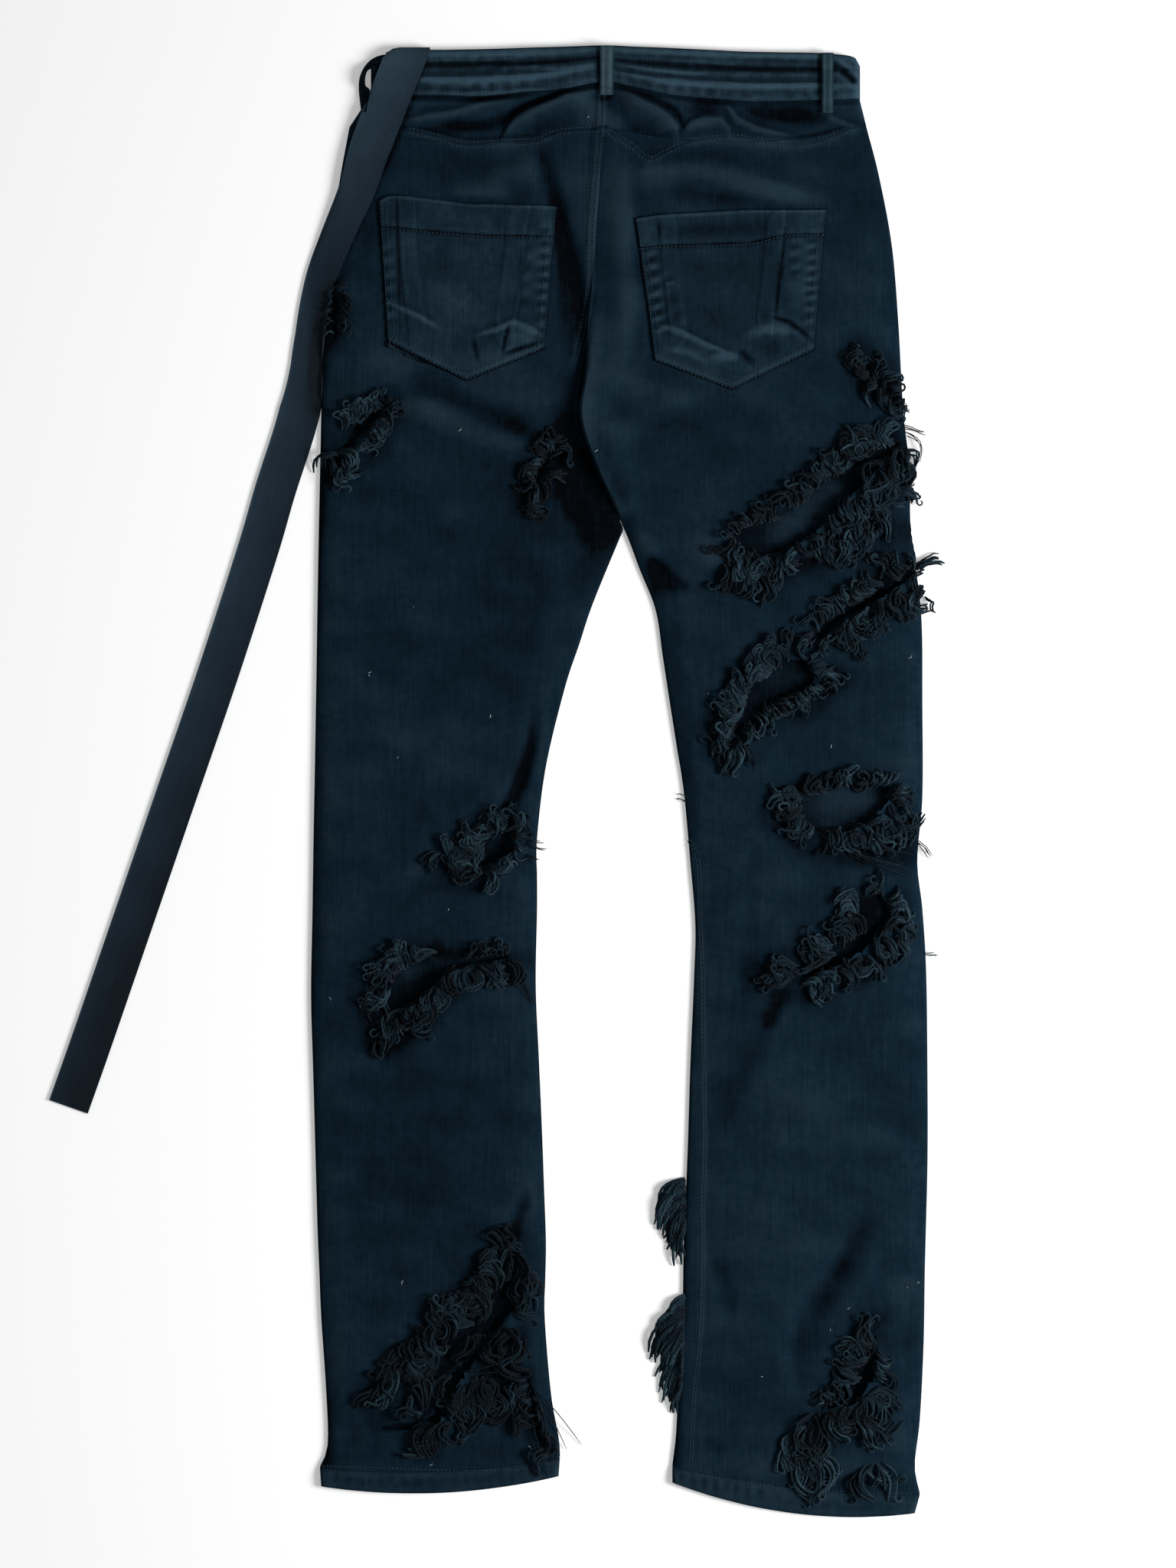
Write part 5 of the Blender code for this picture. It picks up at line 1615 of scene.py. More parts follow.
def folded(
    heights: Array, near: Array, weight: Array | float = 1.0, middle: float = 1.4, reach: float = 2.4
) -> Array:
    """Curves cloth down to the middle of its fold beside a folded edge.

    Args:
        heights: Heights of the cloth.
        near: Distance of each place from the edge.
        weight: 0 where the edge isn't folded.
        middle: Height of the fold's middle.
        reach: How far from the edge the curve begins.

    Returns:
        The changed heights.
    """
    share = np.sqrt(np.clip(1 - (1 - np.clip(near / reach, 0, 1)) ** 2, 0, 1))
    return middle + (heights - middle) * (1 - weight * (1 - share))


def cut_holes(flat: Array, faces: Array, holes: Sequence[Array], cell: float) -> tuple[Array, Array]:
    """Cuts holes into a net, whose nearest places move onto the holes' rims.

    Args:
        flat: Rows of x and y.
        faces: The net's quads.
        holes: Outlines of the holes.
        cell: Distance between the net's threads.

    Returns:
        The moved places and the faces that stay.
    """
    flat, keep = flat.copy(), np.ones(len(faces), bool)
    for hole in holes:
        rim = np.vstack([hole, hole[:1]])
        low, high = rim.min(0) - 2 * cell, rim.max(0) + 2 * cell
        close = np.flatnonzero(((flat > low) & (flat < high)).all(1))
        near, _, along = nearest_on(flat[close], rim)
        snapped = near < 0.52 * cell
        lengths = lengths_along(rim)
        for k in (0, 1):
            flat[close[snapped], k] = np.interp(along[snapped], lengths, rim[:, k])
        middle = flat[faces].mean(1)
        inner = np.flatnonzero(((middle > low) & (middle < high)).all(1))
        keep[inner[inside(middle[inner], rim[:-1])]] = False
    return flat, faces[keep]


def notches(outline: Array, whole: Array, most: float = 1.5) -> list[Array]:
    """Finds where a panel's outline leaves the whole cloth's outline, as at a rip through its edge.

    Args:
        outline: The ripped panel's outline.
        whole: Outline of the same panel without rips.
        most: How far apart they may be in millimetres where there is no rip.

    Returns:
        Outlines of the missing places, each reaching a little beyond the edge.
    """
    rim = np.vstack([whole, whole[:1]])
    away = nearest_on(outline, rim)[0] > most
    start = int(np.flatnonzero(~away)[0])
    loop, away = np.roll(outline, -start, axis=0), np.roll(away, -start)
    found, i = [], 0
    while i < len(loop):
        if away[i]:
            last = i
            while last + 1 < len(loop) and away[last + 1]:
                last += 1
            run = loop[i - 1:min(last + 2, len(loop))]
            out = (run[0] + run[-1]) / 2 - run[1:-1].mean(0)
            out *= 5 / np.linalg.norm(out)
            found.append(np.vstack([run[0] + out, run, run[-1] + out]))
            i = last
        i += 1
    return found


def ragged(outline: Array, seed: int, spacing: float = 1.4, depth: float = 0.8) -> Array:
    """A hole's outline smoothed and then worn uneven."""
    start = int(outline[:, 1].argmax())
    loop = np.roll(outline, -start, axis=0)
    smooth = smooth_route(np.vstack([loop, loop[:1]]), spacing)[:-1]
    steps = np.roll(smooth, -1, axis=0) - np.roll(smooth, 1, axis=0)
    return smooth + depth * ripple(smooth, 5.0, seed)[:, None] * leftward(steps)


def frayed(points: Array, outline: Array, soft: float = 7.0) -> Array:
    """1 well inside the outline of a frayed place and 0 outside it."""
    share = np.zeros(len(points))
    close = np.flatnonzero(((points > outline.min(0) - soft) & (points < outline.max(0) + soft)).all(1))
    if len(close):
        rim = np.vstack([outline, outline[:1]])
        gap = nearest_on(points[close], rim)[0] * np.where(inside(points[close], outline), 1, -1)
        share[close] = smoothstep(-soft, soft, gap)
    return share


@dataclass
class LegCloth:
    """One leg's back panel with its rips."""

    side: Side
    lie: Lie
    spacing: float = 3.15
    wall: float = 1.1
    lap: float = 3.2
    distress_and_shade_under_yarns: float = 0.32

    def heights(self, flat: Array, outer: Array, inner: Array) -> Array:
        """Heights of the panel's places, given their distances from the outer and the inner edge."""
        height = self.lie.height(flat, self.side)
        y = flat[:, 1]
        if self.side is Side.RIGHT:
            under = self.lie.height(flat, Side.LEFT) + 0.3
            lapped = smoothstep(194, 206, y) * (1 - smoothstep(322, 352, y))
            height += (under - height) * lapped * (1 - smoothstep(0, self.lap, inner))
        height = folded(height, outer)
        return folded(height, inner, 1 - smoothstep(CROTCH_LOW, CROTCH_HIGH, y))

    def build(self) -> bpy.types.Object:
        """Makes the panel."""
        node = f"back_leg_{self.side.value}"
        panel = self.lie.panels[self.side]
        places, from_left, from_right = panel.net(self.spacing, EDGE_STEPS)
        rows, columns = places.shape[:2]
        outer, inner = self.side.outer_first(from_left, from_right)
        loops = upper_loops(node)
        rips = loops[1:] + notches(loops[0], panel.outline)
        holes = [ragged(rip, 40 + i) for i, rip in enumerate(rips)]
        flat, faces = cut_holes(places.reshape(-1, 2), net_faces(rows, columns), holes, self.spacing)
        height = self.heights(flat, outer.ravel(), inner.ravel())
        wear_and_shade = wear_and_shade_of(height.reshape(rows, columns), 4)
        # darker under the frayed yarns: partly the distressed cloth, partly painted shade
        for node_name in FRAYS:
            wear_and_shade -= self.distress_and_shade_under_yarns * frayed(flat, upper_loops(node_name)[0])
        wear_and_shade = np.clip(wear_and_shade + dye_and_light_of(flat, BODY_DYE_AND_LIGHT, self.side), 0, 1)
        points = np.column_stack([flat, height])
        obj = make_piece(f"{node}_cloth", points, faces, finishes.of(BODY_DENIM), wear_and_shade)
        thicken(obj, self.wall)
        size = float((from_left + from_right).max()), float(lengths_along(panel.left)[-1])
        return finish_panel(obj, node, panel, f"front_leg_{self.side.value}_cloth", size)


def unripped(side: Array, whole: Array) -> Array:
    """A back panel's side edge that follows the front's edge wherever a rip cuts into it."""
    part = whole[(whole[:, 1] > side[0, 1] + 2) & (whole[:, 1] < side[-1, 1] - 2)]
    return np.vstack([side[:1], part, side[-1:]])


def joined(lower: FourSides, upper: FourSides) -> FourSides:
    """One cut piece from two that meet at a seam."""
    left, right = (np.vstack([a[:-1], b]) for a, b in ((lower.left, upper.left), (lower.right, upper.right)))
    return FourSides.between(left, right, lower.bottom, upper.top)


def whole_front(side: Side) -> FourSides:
    """The outline of a leg's front; the left one comes from the back, as its solid is cut for the fly."""
    if side is Side.RIGHT:
        return FourSides.of_node("front_leg_right")
    return joined(*(FourSides.of_node(f"{part}_left") for part in ("back_leg", "yoke")))


@dataclass
class FrontCloth:
    """One leg's plain front, face down on the floor, with its edges curved up to the side seams."""

    side: Side
    fly: Route
    spacing: float = 9.0
    wall: float = 1.1
    over_fly: float = 0.55

    def build(self) -> bpy.types.Object:
        """Makes the panel."""
        node = f"front_leg_{self.side.value}"
        panel = whole_front(self.side)
        places, from_left, from_right = panel.net(self.spacing, EDGE_STEPS)
        rows, columns = places.shape[:2]
        flat = places.reshape(-1, 2)
        outer, inner = self.side.outer_first(from_left, from_right)
        height = folded(np.zeros(len(flat)), outer.ravel())
        height = folded(height, inner.ravel(), 1 - smoothstep(CROTCH_LOW, CROTCH_HIGH, flat[:, 1]))
        if self.side is Side.LEFT:
            rim = np.array([*self.fly, self.fly[0]], float)
            near = nearest_on(flat, rim)[0]
            over = inside(flat, rim[:-1]) | (near < 0.5 * self.spacing)
            height = np.maximum(height, self.over_fly * over)
        net = np.dstack([places, height.reshape(rows, columns)])
        if self.side is Side.LEFT:
            over = smoothstep(205, 215, net[:, -1, 1])[:, None]
            hidden = [net[:, -1] + over * (reach, 0, self.wall + 0.05) + (1 - over) * (0.01 * reach, 0, 0)
                      for reach in (0.4, 8.0)]
            net = np.concatenate([net, np.stack(hidden, axis=1)], axis=1)
        faces = net_faces(rows, net.shape[1])[:, ::-1]
        # the inner side is paler where painted light falls into the wider rips
        wear_and_shade = np.clip(0.5 + dye_and_light_of(net.reshape(-1, 3)[:, :2], INSIDE_PAINTED_LIGHT, self.side), 0, 1)
        obj = make_piece(f"{node}_cloth", net.reshape(-1, 3), faces, finishes.of(BODY_DENIM), wear_and_shade)
        obj.data.materials.append(finishes.of(DENIM_INSIDE_SHADED))
        thicken(obj, self.wall, lining=1)
        size = float((from_left + from_right).max()), float(lengths_along(panel.left)[-1])
        return finish_panel(obj, node, panel, "floor", size)


@dataclass
class FlyCloth:
    """The fly's outer layer, stitched flat on the front."""

    wall: float = 0.45

    def build(self) -> bpy.types.Object:
        """Makes the fly."""
        sides = FourSides.of_node("fly")
        places, _, _ = sides.net(5.0, (0.0, 1.0))
        rows, columns = places.shape[:2]
        flat = places.reshape(-1, 2)
        points, wear_and_shade = np.column_stack([flat, np.zeros(len(flat))]), np.full(len(flat), 0.5)
        faces = net_faces(rows, columns)[:, ::-1]
        obj = make_piece("fly_cloth", points, faces, finishes.of(BODY_DENIM), wear_and_shade)
        thicken(obj, self.wall)
        return finish_panel(obj, "fly", sides, "floor")


@dataclass
class YokeCloth:
    """One half of the yoke, from its seam up into the waistband."""

    side: Side
    lie: Lie
    spacing: float = 1.1
    wall: float = 1.1
    tuck_height: float = 3.5

    def build(self) -> bpy.types.Object:
        """Makes the yoke."""
        node = f"yoke_{self.side.value}"
        sides = FourSides.of_node(node)
        places, from_left, from_right = sides.net(self.spacing, EDGE_STEPS)
        rows, columns = places.shape[:2]
        flat = places.reshape(-1, 2)
        outer, _ = self.side.outer_first(from_left, from_right)
        height = self.lie.height(flat, self.side)
        tucked = smoothstep(5.0, 0.5, nearest_on(flat, sides.top)[0])
        height += (self.tuck_height - height) * tucked
        height = folded(height, outer.ravel())
        net = np.dstack([places, height.reshape(rows, columns)])
        tone = dye_and_light_of(flat, YOKE_DYE_AND_LIGHT + BODY_DYE_AND_LIGHT, self.side)
        # the two rows tucked under the waistband are dark: painted shade under the band
        wear_and_shade = np.concatenate([np.clip(wear_and_shade_of(net[..., 2], 5) + tone, 0, 1), np.full(2 * columns, 0.1)])
        net = np.concatenate([net, net[-1:] + (0, 1.6, -0.1), net[-1:] + (0, 3.4, -0.2)])
        obj = make_piece(f"{node}_cloth", net.reshape(-1, 3), net_faces(rows + 2, columns),
                         finishes.of(BODY_DENIM), wear_and_shade)
        thicken(obj, self.wall)
        return finish_panel(obj, node, sides, f"front_leg_{self.side.value}_cloth")


@dataclass
class Band:
    """A band of doubled cloth that runs all round: the waistband or a hem."""

    node: str
    finish: DenimFinish
    slot: str
    top: float
    forms: Sequence
    dye_and_light: Sequence = ()
    spacing: float = 1.5
    wall: float = 1.8
    middle: float = 2.6
    seat: tuple[float, float, float] | None = None
    seat_rise: float = 2.1
    joins: Callable[[Array], Array] | None = None

    def build(self) -> bpy.types.Object:
        """Makes the band."""
        sides = FourSides.of_node(self.node)
        places, from_left, from_right = sides.net(self.spacing, (0.0, 0.4, 1.0, 2.0, 3.4))
        rows, columns = places.shape[:2]
        flat = places.reshape(-1, 2)
        near = np.minimum(from_left, from_right).ravel()
        upper = self.top + 0.25 * ripple(flat, 40.0, 21) + 0.12 * ripple(flat, 14.0, 22)
        for form in self.forms:
            upper += form.height(flat) * np.clip(near / 8, 0, 1)
        upper -= 0.9 * bell(nearest_on(flat, sides.bottom)[0], 1.1)
        from_top = nearest_on(flat, sides.top)[0]
        if self.joins:
            upper += (self.joins(flat) - upper) * bell(from_top, 6)
        else:
            upper -= 0.9 * bell(from_top, 1.1)
        lower = np.zeros(len(flat))
        if self.seat:
            x, y, radius = self.seat
            away = np.hypot(flat[:, 0] - x, flat[:, 1] - y)
            lower += self.seat_rise * (1 - smoothstep(radius, radius + 4, away))
        upper = folded(upper, near, 1.0, self.middle, 3.4).reshape(rows, columns)
        lower = folded(lower, near, 1.0, self.middle, 3.4).reshape(rows, columns)
        back = slice(columns - 2, 0, -1)
        ring = np.concatenate([np.dstack([places, upper]), np.dstack([places, lower])[:, back]], axis=1)
        wear_and_shade = wear_and_shade_of(upper, 3, 0.4) + sum_of_forms(flat, self.dye_and_light, Side.LEFT, 20.0)
        wear_and_shade = np.clip(wear_and_shade + 0.2 * bell(from_top - 2.5, 2.5), 0, 1).reshape(rows, columns)
        wear_and_shade = np.concatenate([wear_and_shade, np.full((rows, columns - 2), 0.5)], axis=1)
        faces = net_faces(rows, ring.shape[1], closed=True)
        finish = finishes.of(self.finish)
        obj = make_piece(f"{self.node}_cloth", ring.reshape(-1, 3), faces, finish, wear_and_shade.ravel())
        thicken(obj, self.wall)
        around = 2 * float((from_left + from_right).max())
        deep = float(np.median(np.linalg.norm(places[-1] - places[0], axis=1)))
        return finish_piece(obj, self.slot, self.node, flat=(around, deep), rests_on=["floor"])


@dataclass
class PatchPocket:
    """A patch pocket on the seat."""

    side: Side
    lie: Lie
    forms: Sequence
    dye_and_light: Sequence[DyeAndLight]
    hem: Route
    spacing: float = 1.35
    wall: float = 1.1

    def build(self) -> bpy.types.Object:
        """Makes the pocket."""
        node = f"back_pocket_{self.side.value}"
        sides = FourSides.of_node(node, 2.0)
        places, from_left, from_right = sides.net(self.spacing, (0.0, 0.6, 1.4))
        rows, columns = places.shape[:2]
        flat = places.reshape(-1, 2)
        near = np.minimum(np.minimum(from_left, from_right).ravel(), nearest_on(flat, sides.bottom)[0])
        height = self.lie.height(flat, self.side) + self.wall + 0.1 + 0.55 * (1 - np.exp(-near / 2.5))
        for form in self.forms:
            height += form.height(flat)
        gap, turn, _ = nearest_on(flat, np.array(self.hem, float))
        across = gap * np.sign(turn)
        height += 0.5 * smoothstep(-0.7, 0.7, across) - 0.35 * bell(across, 1.2)
        wear_and_shade = wear_and_shade_of(height.reshape(rows, columns), 3, 0.42) + dye_and_light_of(flat, self.dye_and_light, self.side)
        # pale lines just inside the top and bottom edges are painted highlights on the turned edges; dark
        # lines right at the bottom and side edges are painted shadow
        for rim, gain, inset, spread in (
            (sides.top, 0.34, 1.2, 1.1), (sides.bottom, 0.3, 3.0, 1.1), (sides.bottom, -0.9, 0.0, 1.5),
            (sides.left, -0.6, 0.0, 1.0), (sides.right, -0.5, 0.0, 0.9),
        ):
            wear_and_shade += gain * bell(nearest_on(flat, rim)[0] - inset, spread)
        # painted shade in the groove along the hem's fold
        wear_and_shade -= 0.5 * bell(across, 1.2)
        wear_and_shade = np.clip(wear_and_shade, 0, 1)
        obj = make_piece(f"{node}_cloth", np.column_stack([flat, height]), net_faces(rows, columns),
                         finishes.of(POCKET_DENIM), wear_and_shade)
        thicken(obj, self.wall)
        return finish_panel(obj, node, sides, f"back_leg_{self.side.value}_cloth")


def settled(heights: Array, step: float, slope: float) -> Array:
    """Raises the rows of a net so that it bridges hollows with a slope no steeper than given."""
    heights = heights.copy()
    drop = slope * step
    for i in range(1, len(heights)):
        heights[i] = np.maximum(heights[i], heights[i - 1] - drop)
    for i in range(len(heights) - 2, -1, -1):
        heights[i] = np.maximum(heights[i], heights[i + 1] - drop)
    return heights


@dataclass
class LyingLoop:
    """A belt loop sewn flat over the waistband."""

    node: str
    top: tuple[float, float]
    bottom: tuple[float, float]
    width: float
    paleness: float
    ground: Ground
    wall: float = 1.5

    def build(self) -> bpy.types.Object:
        """Makes the loop."""
        start, end = np.array(self.bottom), np.array(self.top)
        length = float(np.linalg.norm(end - start))
        ahead = (end - start) / length
        side = np.array([ahead[1], -ahead[0]])
        rows, across = round(length / 1.5) + 1, np.linspace(-1, 1, 9)
        along = np.linspace(0, 1, rows)[:, None]
        pinch = 1 - 0.06 * np.sin(math.pi * along)
        out = self.width / 2 * across * pinch
        places = start + (end - start) * along[..., None] + out[..., None] * side
        low = self.ground.along(places.reshape(-1, 2)).reshape(rows, 9)
        low = settled(low, 1.5, 0.5)
        height = low.max(1, keepdims=True) * 0.5 + low * 0.5
        height = np.maximum(height, low) + 0.25 + self.wall + 0.45 * (1 - across**2)
        height += 0.5 * bell(np.abs(across) - 0.72, 0.12) * 0.35
        height += 0.9 * np.sin(math.pi * along) ** 0.7
        net = np.dstack([places, height])
        faces = net_faces(rows, 9)
        # paler along the folded edges, darker right at the rims as painted shade where the loop meets the
        # band, and paler towards the top
        ridges = bell(np.abs(across) - 0.55, 0.22) - 0.8 * bell(np.abs(across) - 1, 0.2)
        wear_and_shade = np.clip(self.paleness + 0.35 * ridges + 0.12 * (along - 0.5), 0, 1).ravel()
        obj = make_piece(f"{self.node}_cloth", net.reshape(-1, 3), faces, finishes.of(LOOP_DENIM), wear_and_shade)
        thicken(obj, self.wall)
        return finish_piece(obj, "waist_denim", self.node, flat=(max(self.width, 10.0), length),
                            rests_on=["waistband_cloth"])


@dataclass
class StandingLoop:
    """The belt loop at the waistband's left end, bowed out sideways and half turned over."""

    outer: Route = (
        (-84, 569.5), (-90, 568), (-96, 564.5), (-101, 558.5), (-104, 551), (-104.6, 543), (-104, 535),
        (-102.6, 523.5),
    )
    inner: Route = (
        (-85, 560), (-91, 559.5), (-96, 558), (-99, 556), (-100.6, 551), (-100.7, 546), (-99.6, 542.2),
        (-97, 541), (-96, 538), (-97.5, 531), (-99.5, 523.5),
    )
    low: float = 1.7
    high: float = 7.6
    wall: float = 1.6
    columns: int = 7

    def build(self) -> bpy.types.Object:
        """Makes the loop."""
        rows = 33
        share = np.linspace(0, 1, rows)
        rims = [place_along(smooth_route(rim, 1.0), share) for rim in (self.inner, self.outer)]
        across = np.linspace(0, 1, self.columns)[None, :, None]
        flat = rims[0][:, None] * (1 - across) + rims[1][:, None] * across
        height = self.low + (self.high - self.low) * (1 - across[..., 0]) ** 0.8 * np.ones((rows, 1))
        net = np.dstack([flat, height])
        faces = net_faces(rows, self.columns)
        wear_and_shade = np.clip(np.tile(0.02 + 0.42 * across.ravel() ** 2 - 0.2 * across.ravel() ** 9, rows), 0, 1)
        obj = make_piece("belt_loop_left_cloth", net.reshape(-1, 3), faces, finishes.of(WAIST_DENIM), wear_and_shade)
        thicken(obj, self.wall)
        length = float(lengths_along(rims[1])[-1])
        return finish_piece(obj, "waist_denim", "belt_loop_left", flat=(10.0, length), rests_on=["floor"])


@dataclass
class Strap:
    """The webbing strap: tucked into the waistband, turned over its edge and laid down the left side."""

    ground: Ground
    route: Route = (
        (-68, 566), (-76, 546), (-84, 526), (-97, 492), (-106, 463), (-122, 426), (-134, 396), (-140, 371),
        (-144.4, 341), (-148, 305), (-154.6, 276), (-170, 228), (-184, 180), (-215, 84), (-248, -12),
        (-281, -108), (-314, -204), (-332, -255),
    )
    tuck: Route = ((-54, 538), (-58, 550), (-62, 562))
    width: float = 32.0
    drawn_in: Route = (
        (290, 1.0), (325, 0.76), (350, 0.69), (385, 0.70), (430, 0.81), (470, 0.91), (500, 1.0),
    )
    paleness: Route = (
        (-260, 0.04), (-150, 0.12), (50, 0.36), (200, 0.44), (280, 0.46), (330, 0.36), (390, 0.38),
        (450, 0.56), (500, 0.66), (572, 0.82),
    )
    # where the painted shadow on the strap's right half lies, and how far along it it reaches
    shadow_at: float = 332.0
    shadow_reach: float = 36.0
    wall: float = 1.6
    columns: int = 11
    corner_drop: float = 4.0
    step: float = 4.0
    edge_y: float = 571.6
    turn_x: float = -66.0
    turn_height: float = 5.3
    turn_inner: float = 1.25

    def build(self) -> bpy.types.Object:
        """Makes the strap."""
        across = np.array([-0.5, -0.475, -0.44, -0.34, -0.18, 0.0, 0.18, 0.34, 0.44, 0.475, 0.5])
        slant = np.array([1.08 * self.width, 0.0])
        fallen = self.corner_drop * smoothstep(-0.22, -0.5, across) ** 1.5
        outer = self.turn_inner + self.wall
        rows = []
        for x, y in smooth_route(self.tuck, self.step):
            rows.append(np.column_stack([np.array([x, y]) + across[:, None] * slant,
                                         np.full(self.columns, self.turn_height - outer)]))
        for angle in np.radians(np.arange(-90, 91, 15)):
            y, z = self.edge_y + outer * math.cos(angle), self.turn_height + outer * math.sin(angle)
            level = np.full(self.columns, z)
            rows.append(np.column_stack([self.turn_x + across * slant[0], y - fallen, level]))
        way = smooth_route(self.route, self.step)
        wide = self.width * np.interp(way[:, 1], *zip(*self.drawn_in))
        side = leftward(np.gradient(way, axis=0)) * wide[:, None]
        lean = smoothstep(0, 40, lengths_along(way))[:, None]
        side = lean * side + (1 - lean) * slant
        flat = way[:, None] + across[None, :, None] * side[:, None]
        low = self.ground.along(flat.reshape(-1, 2)).reshape(flat.shape[:2])
        low = settled(low, self.step, 0.2)
        low = settled(low.T, self.width / (self.columns - 1), 0.25).T
        smooth = [np.convolve(np.pad(row, 3, mode="edge"), np.ones(7) / 7, mode="valid") for row in low.T]
        smooth = np.stack(smooth, axis=1)
        height = np.maximum(smooth, low) + 0.35 + self.wall
        height[low < 0.05] = np.maximum(smooth, low)[low < 0.05] + self.wall + 0.02
        height += 0.25 * ripple(flat.reshape(-1, 2), 70.0, 31).reshape(height.shape) * (low > 0.05)
        rows += list(np.dstack([flat, height]))
        net = np.array(rows)
        faces = net_faces(len(net), self.columns)
        run = lengths_along(net[:, self.columns // 2])
        marks = np.column_stack([np.tile(across * self.width, len(net)), np.repeat(run, self.columns)])
        wear_and_shade = np.interp(net[..., 1], *zip(*self.paleness))
        # a pale selvedge along the left edge, and darker towards the right edge: painted shade across the
        # strap
        wear_and_shade += 0.3 * bell(across + 0.48, 0.03) - 0.42 * across
        # painted shadow on the strap's right half beside the hip
        painted_shadow = bell(net[..., 1] - self.shadow_at, self.shadow_reach)
        wear_and_shade -= 0.9 * painted_shadow * smoothstep(-0.1, 0.4, across)
        if np.cross(net[40, 1] - net[40, 0], net[41, 0] - net[40, 0])[2] < 0:
            faces = faces[:, ::-1]
        obj = make_piece(
            "strap_webbing_tape", net.reshape(-1, 3), faces, finishes.of(STRAP_WEBBING), wear_and_shade.ravel(),
            marks[faces].reshape(-1, 2),
        )
        thicken(obj, self.wall)
        size = self.width, float(run[-1])
        return finish_piece(obj, "webbing", "strap", flat=size, rests_on=["waistband_cloth"])


@dataclass
class WaistButton:
    """The waist button under the band, seen from below."""

    place: tuple[float, float] = (88.0, 558.0)
    radius: float = 8.5
    height: float = 1.8
    rings: Route = ((1.3, 0), (0.3, -0.5), (2.6, 0), (0.3, 0.3))

    def build(self) -> bpy.types.Object:
        """Makes the button."""
        deselect_all()
        bpy.ops.mesh.primitive_cylinder_add(
            vertices=48, radius=self.radius * MM, depth=self.height * MM,
            location=(self.place[0] * MM, self.place[1] * MM, self.height / 2 * MM),
        )
        obj = bpy.context.object
        obj.name = obj.data.name = "waist_button_metal"
        bpy.ops.object.transform_apply(location=True, rotation=False, scale=False)
        bpy.ops.object.mode_set(mode="EDIT")
        bpy.ops.mesh.select_mode(type="FACE")
        bpy.ops.mesh.select_all(action="DESELECT")
        bpy.ops.object.mode_set(mode="OBJECT")
        for face in obj.data.polygons:
            face.select = face.normal.z < -0.9
        bpy.ops.object.mode_set(mode="EDIT")
        for width, depth in self.rings:
            bpy.ops.mesh.inset(thickness=width * MM, depth=depth * MM)
        bpy.ops.object.mode_set(mode="OBJECT")
        bevel = obj.modifiers.new("Rim", "BEVEL")
        bevel.width, bevel.segments, bevel.limit_method = 0.22 * MM, 3, "ANGLE"
        bpy.ops.object.modifier_apply(modifier="Rim")
        bpy.ops.object.shade_smooth_by_angle(angle=math.radians(40))
        obj.data.materials.clear()
        obj.data.materials.append(finishes.of(BUTTON_METAL))
        return finish_piece(obj, "button_metal", "waist_button")


@dataclass
class Lint:
    """Pale specks of fluff on the cloth."""

    ground: Ground
    specks: Route
    size: float = 1.1

    def build(self) -> bpy.types.Object:
        """Makes the specks in one mesh."""
        draw = np.random.default_rng(77)
        bundle = YarnBundle()
        for x, y in self.specks:
            length = self.size * draw.uniform(0.6, 1.6)
            angle = draw.uniform(0, math.pi)
            way = np.array([math.cos(angle), math.sin(angle)])
            bend = np.array([-way[1], way[0]])
            t = np.linspace(-1, 1, 5)[:, None]
            flat = np.array([x, y]) + length * t * way + length * 0.5 * t**2 * bend
            height = self.ground.along(flat) + 0.25
            radii = 0.42 * np.array([0.5, 0.9, 1.0, 0.8, 0.4])
            bundle.add(np.column_stack([flat, height]), radii, draw.uniform(0.4, 0.9))
        return finish_piece(bundle.piece("lint_specks", LINT), "yarn")


# ---------------------------------------------------------------- studio

@dataclass
class Studio:
    """White floor, soft lamps and the camera straight above."""

    centre: tuple[float, float] = (75.0, -2.1)
    camera_height: float = 4000.0
    lens: float = 117.19
    key_power: float = 122.0
    key_distance: float = 3.0
    key_azimuth: float = -8.0
    key_elevation: float = 32.0
    key_size: float = 1.3
    fill: float = 0.24
    floor_size: float = 12.0
    floor_drop: float = 0.2
    sensor: float = 36.0
    view_limit: float = 20.0

    def build(self) -> None:
        """Sets up floor, lamps, surroundings and camera."""
        deselect_all()
        bpy.ops.mesh.primitive_plane_add(size=self.floor_size, location=(0, 0, 0))
        floor = bpy.context.object
        floor.name = floor.data.name = "floor"
        for vertex in floor.data.vertices:
            vertex.co.z = -self.floor_drop * MM
        floor.data.materials.append(finishes.of(FloorFinish()))
        azimuth, elevation = math.radians(self.key_azimuth), math.radians(self.key_elevation)
        aim = Vector((self.centre[0] * MM, self.centre[1] * MM, 0))
        way = Vector((math.cos(azimuth) * math.cos(elevation), math.sin(azimuth) * math.cos(elevation),
                      math.sin(elevation)))
        lamp = bpy.data.lights.new("key", "AREA")
        lamp.shape, lamp.size, lamp.energy = "DISK", self.key_size, self.key_power
        key = bpy.data.objects.new("key", lamp)
        key.location = aim + self.key_distance * way
        key.rotation_euler = way.to_track_quat("Z", "Y").to_euler()
        bpy.context.scene.collection.objects.link(key)
        world = bpy.data.worlds.new("studio")
        world.use_nodes = True
        background = world.node_tree.nodes["Background"]
        background.inputs["Color"].default_value = (0.98, 0.99, 1.0, 1.0)
        background.inputs["Strength"].default_value = self.fill
        bpy.context.scene.world = world
        camera = bpy.data.cameras.new("camera")
        camera.lens, camera.sensor_width, camera.clip_end = self.lens, self.sensor, self.view_limit
        eye = bpy.data.objects.new("camera", camera)
        eye.location = (aim.x, aim.y, self.camera_height * MM)
        bpy.context.scene.collection.objects.link(eye)
        bpy.context.scene.camera = eye
        bpy.context.scene.view_settings.view_transform = "Standard"


# ---------------------------------------------------------------- the whole garment

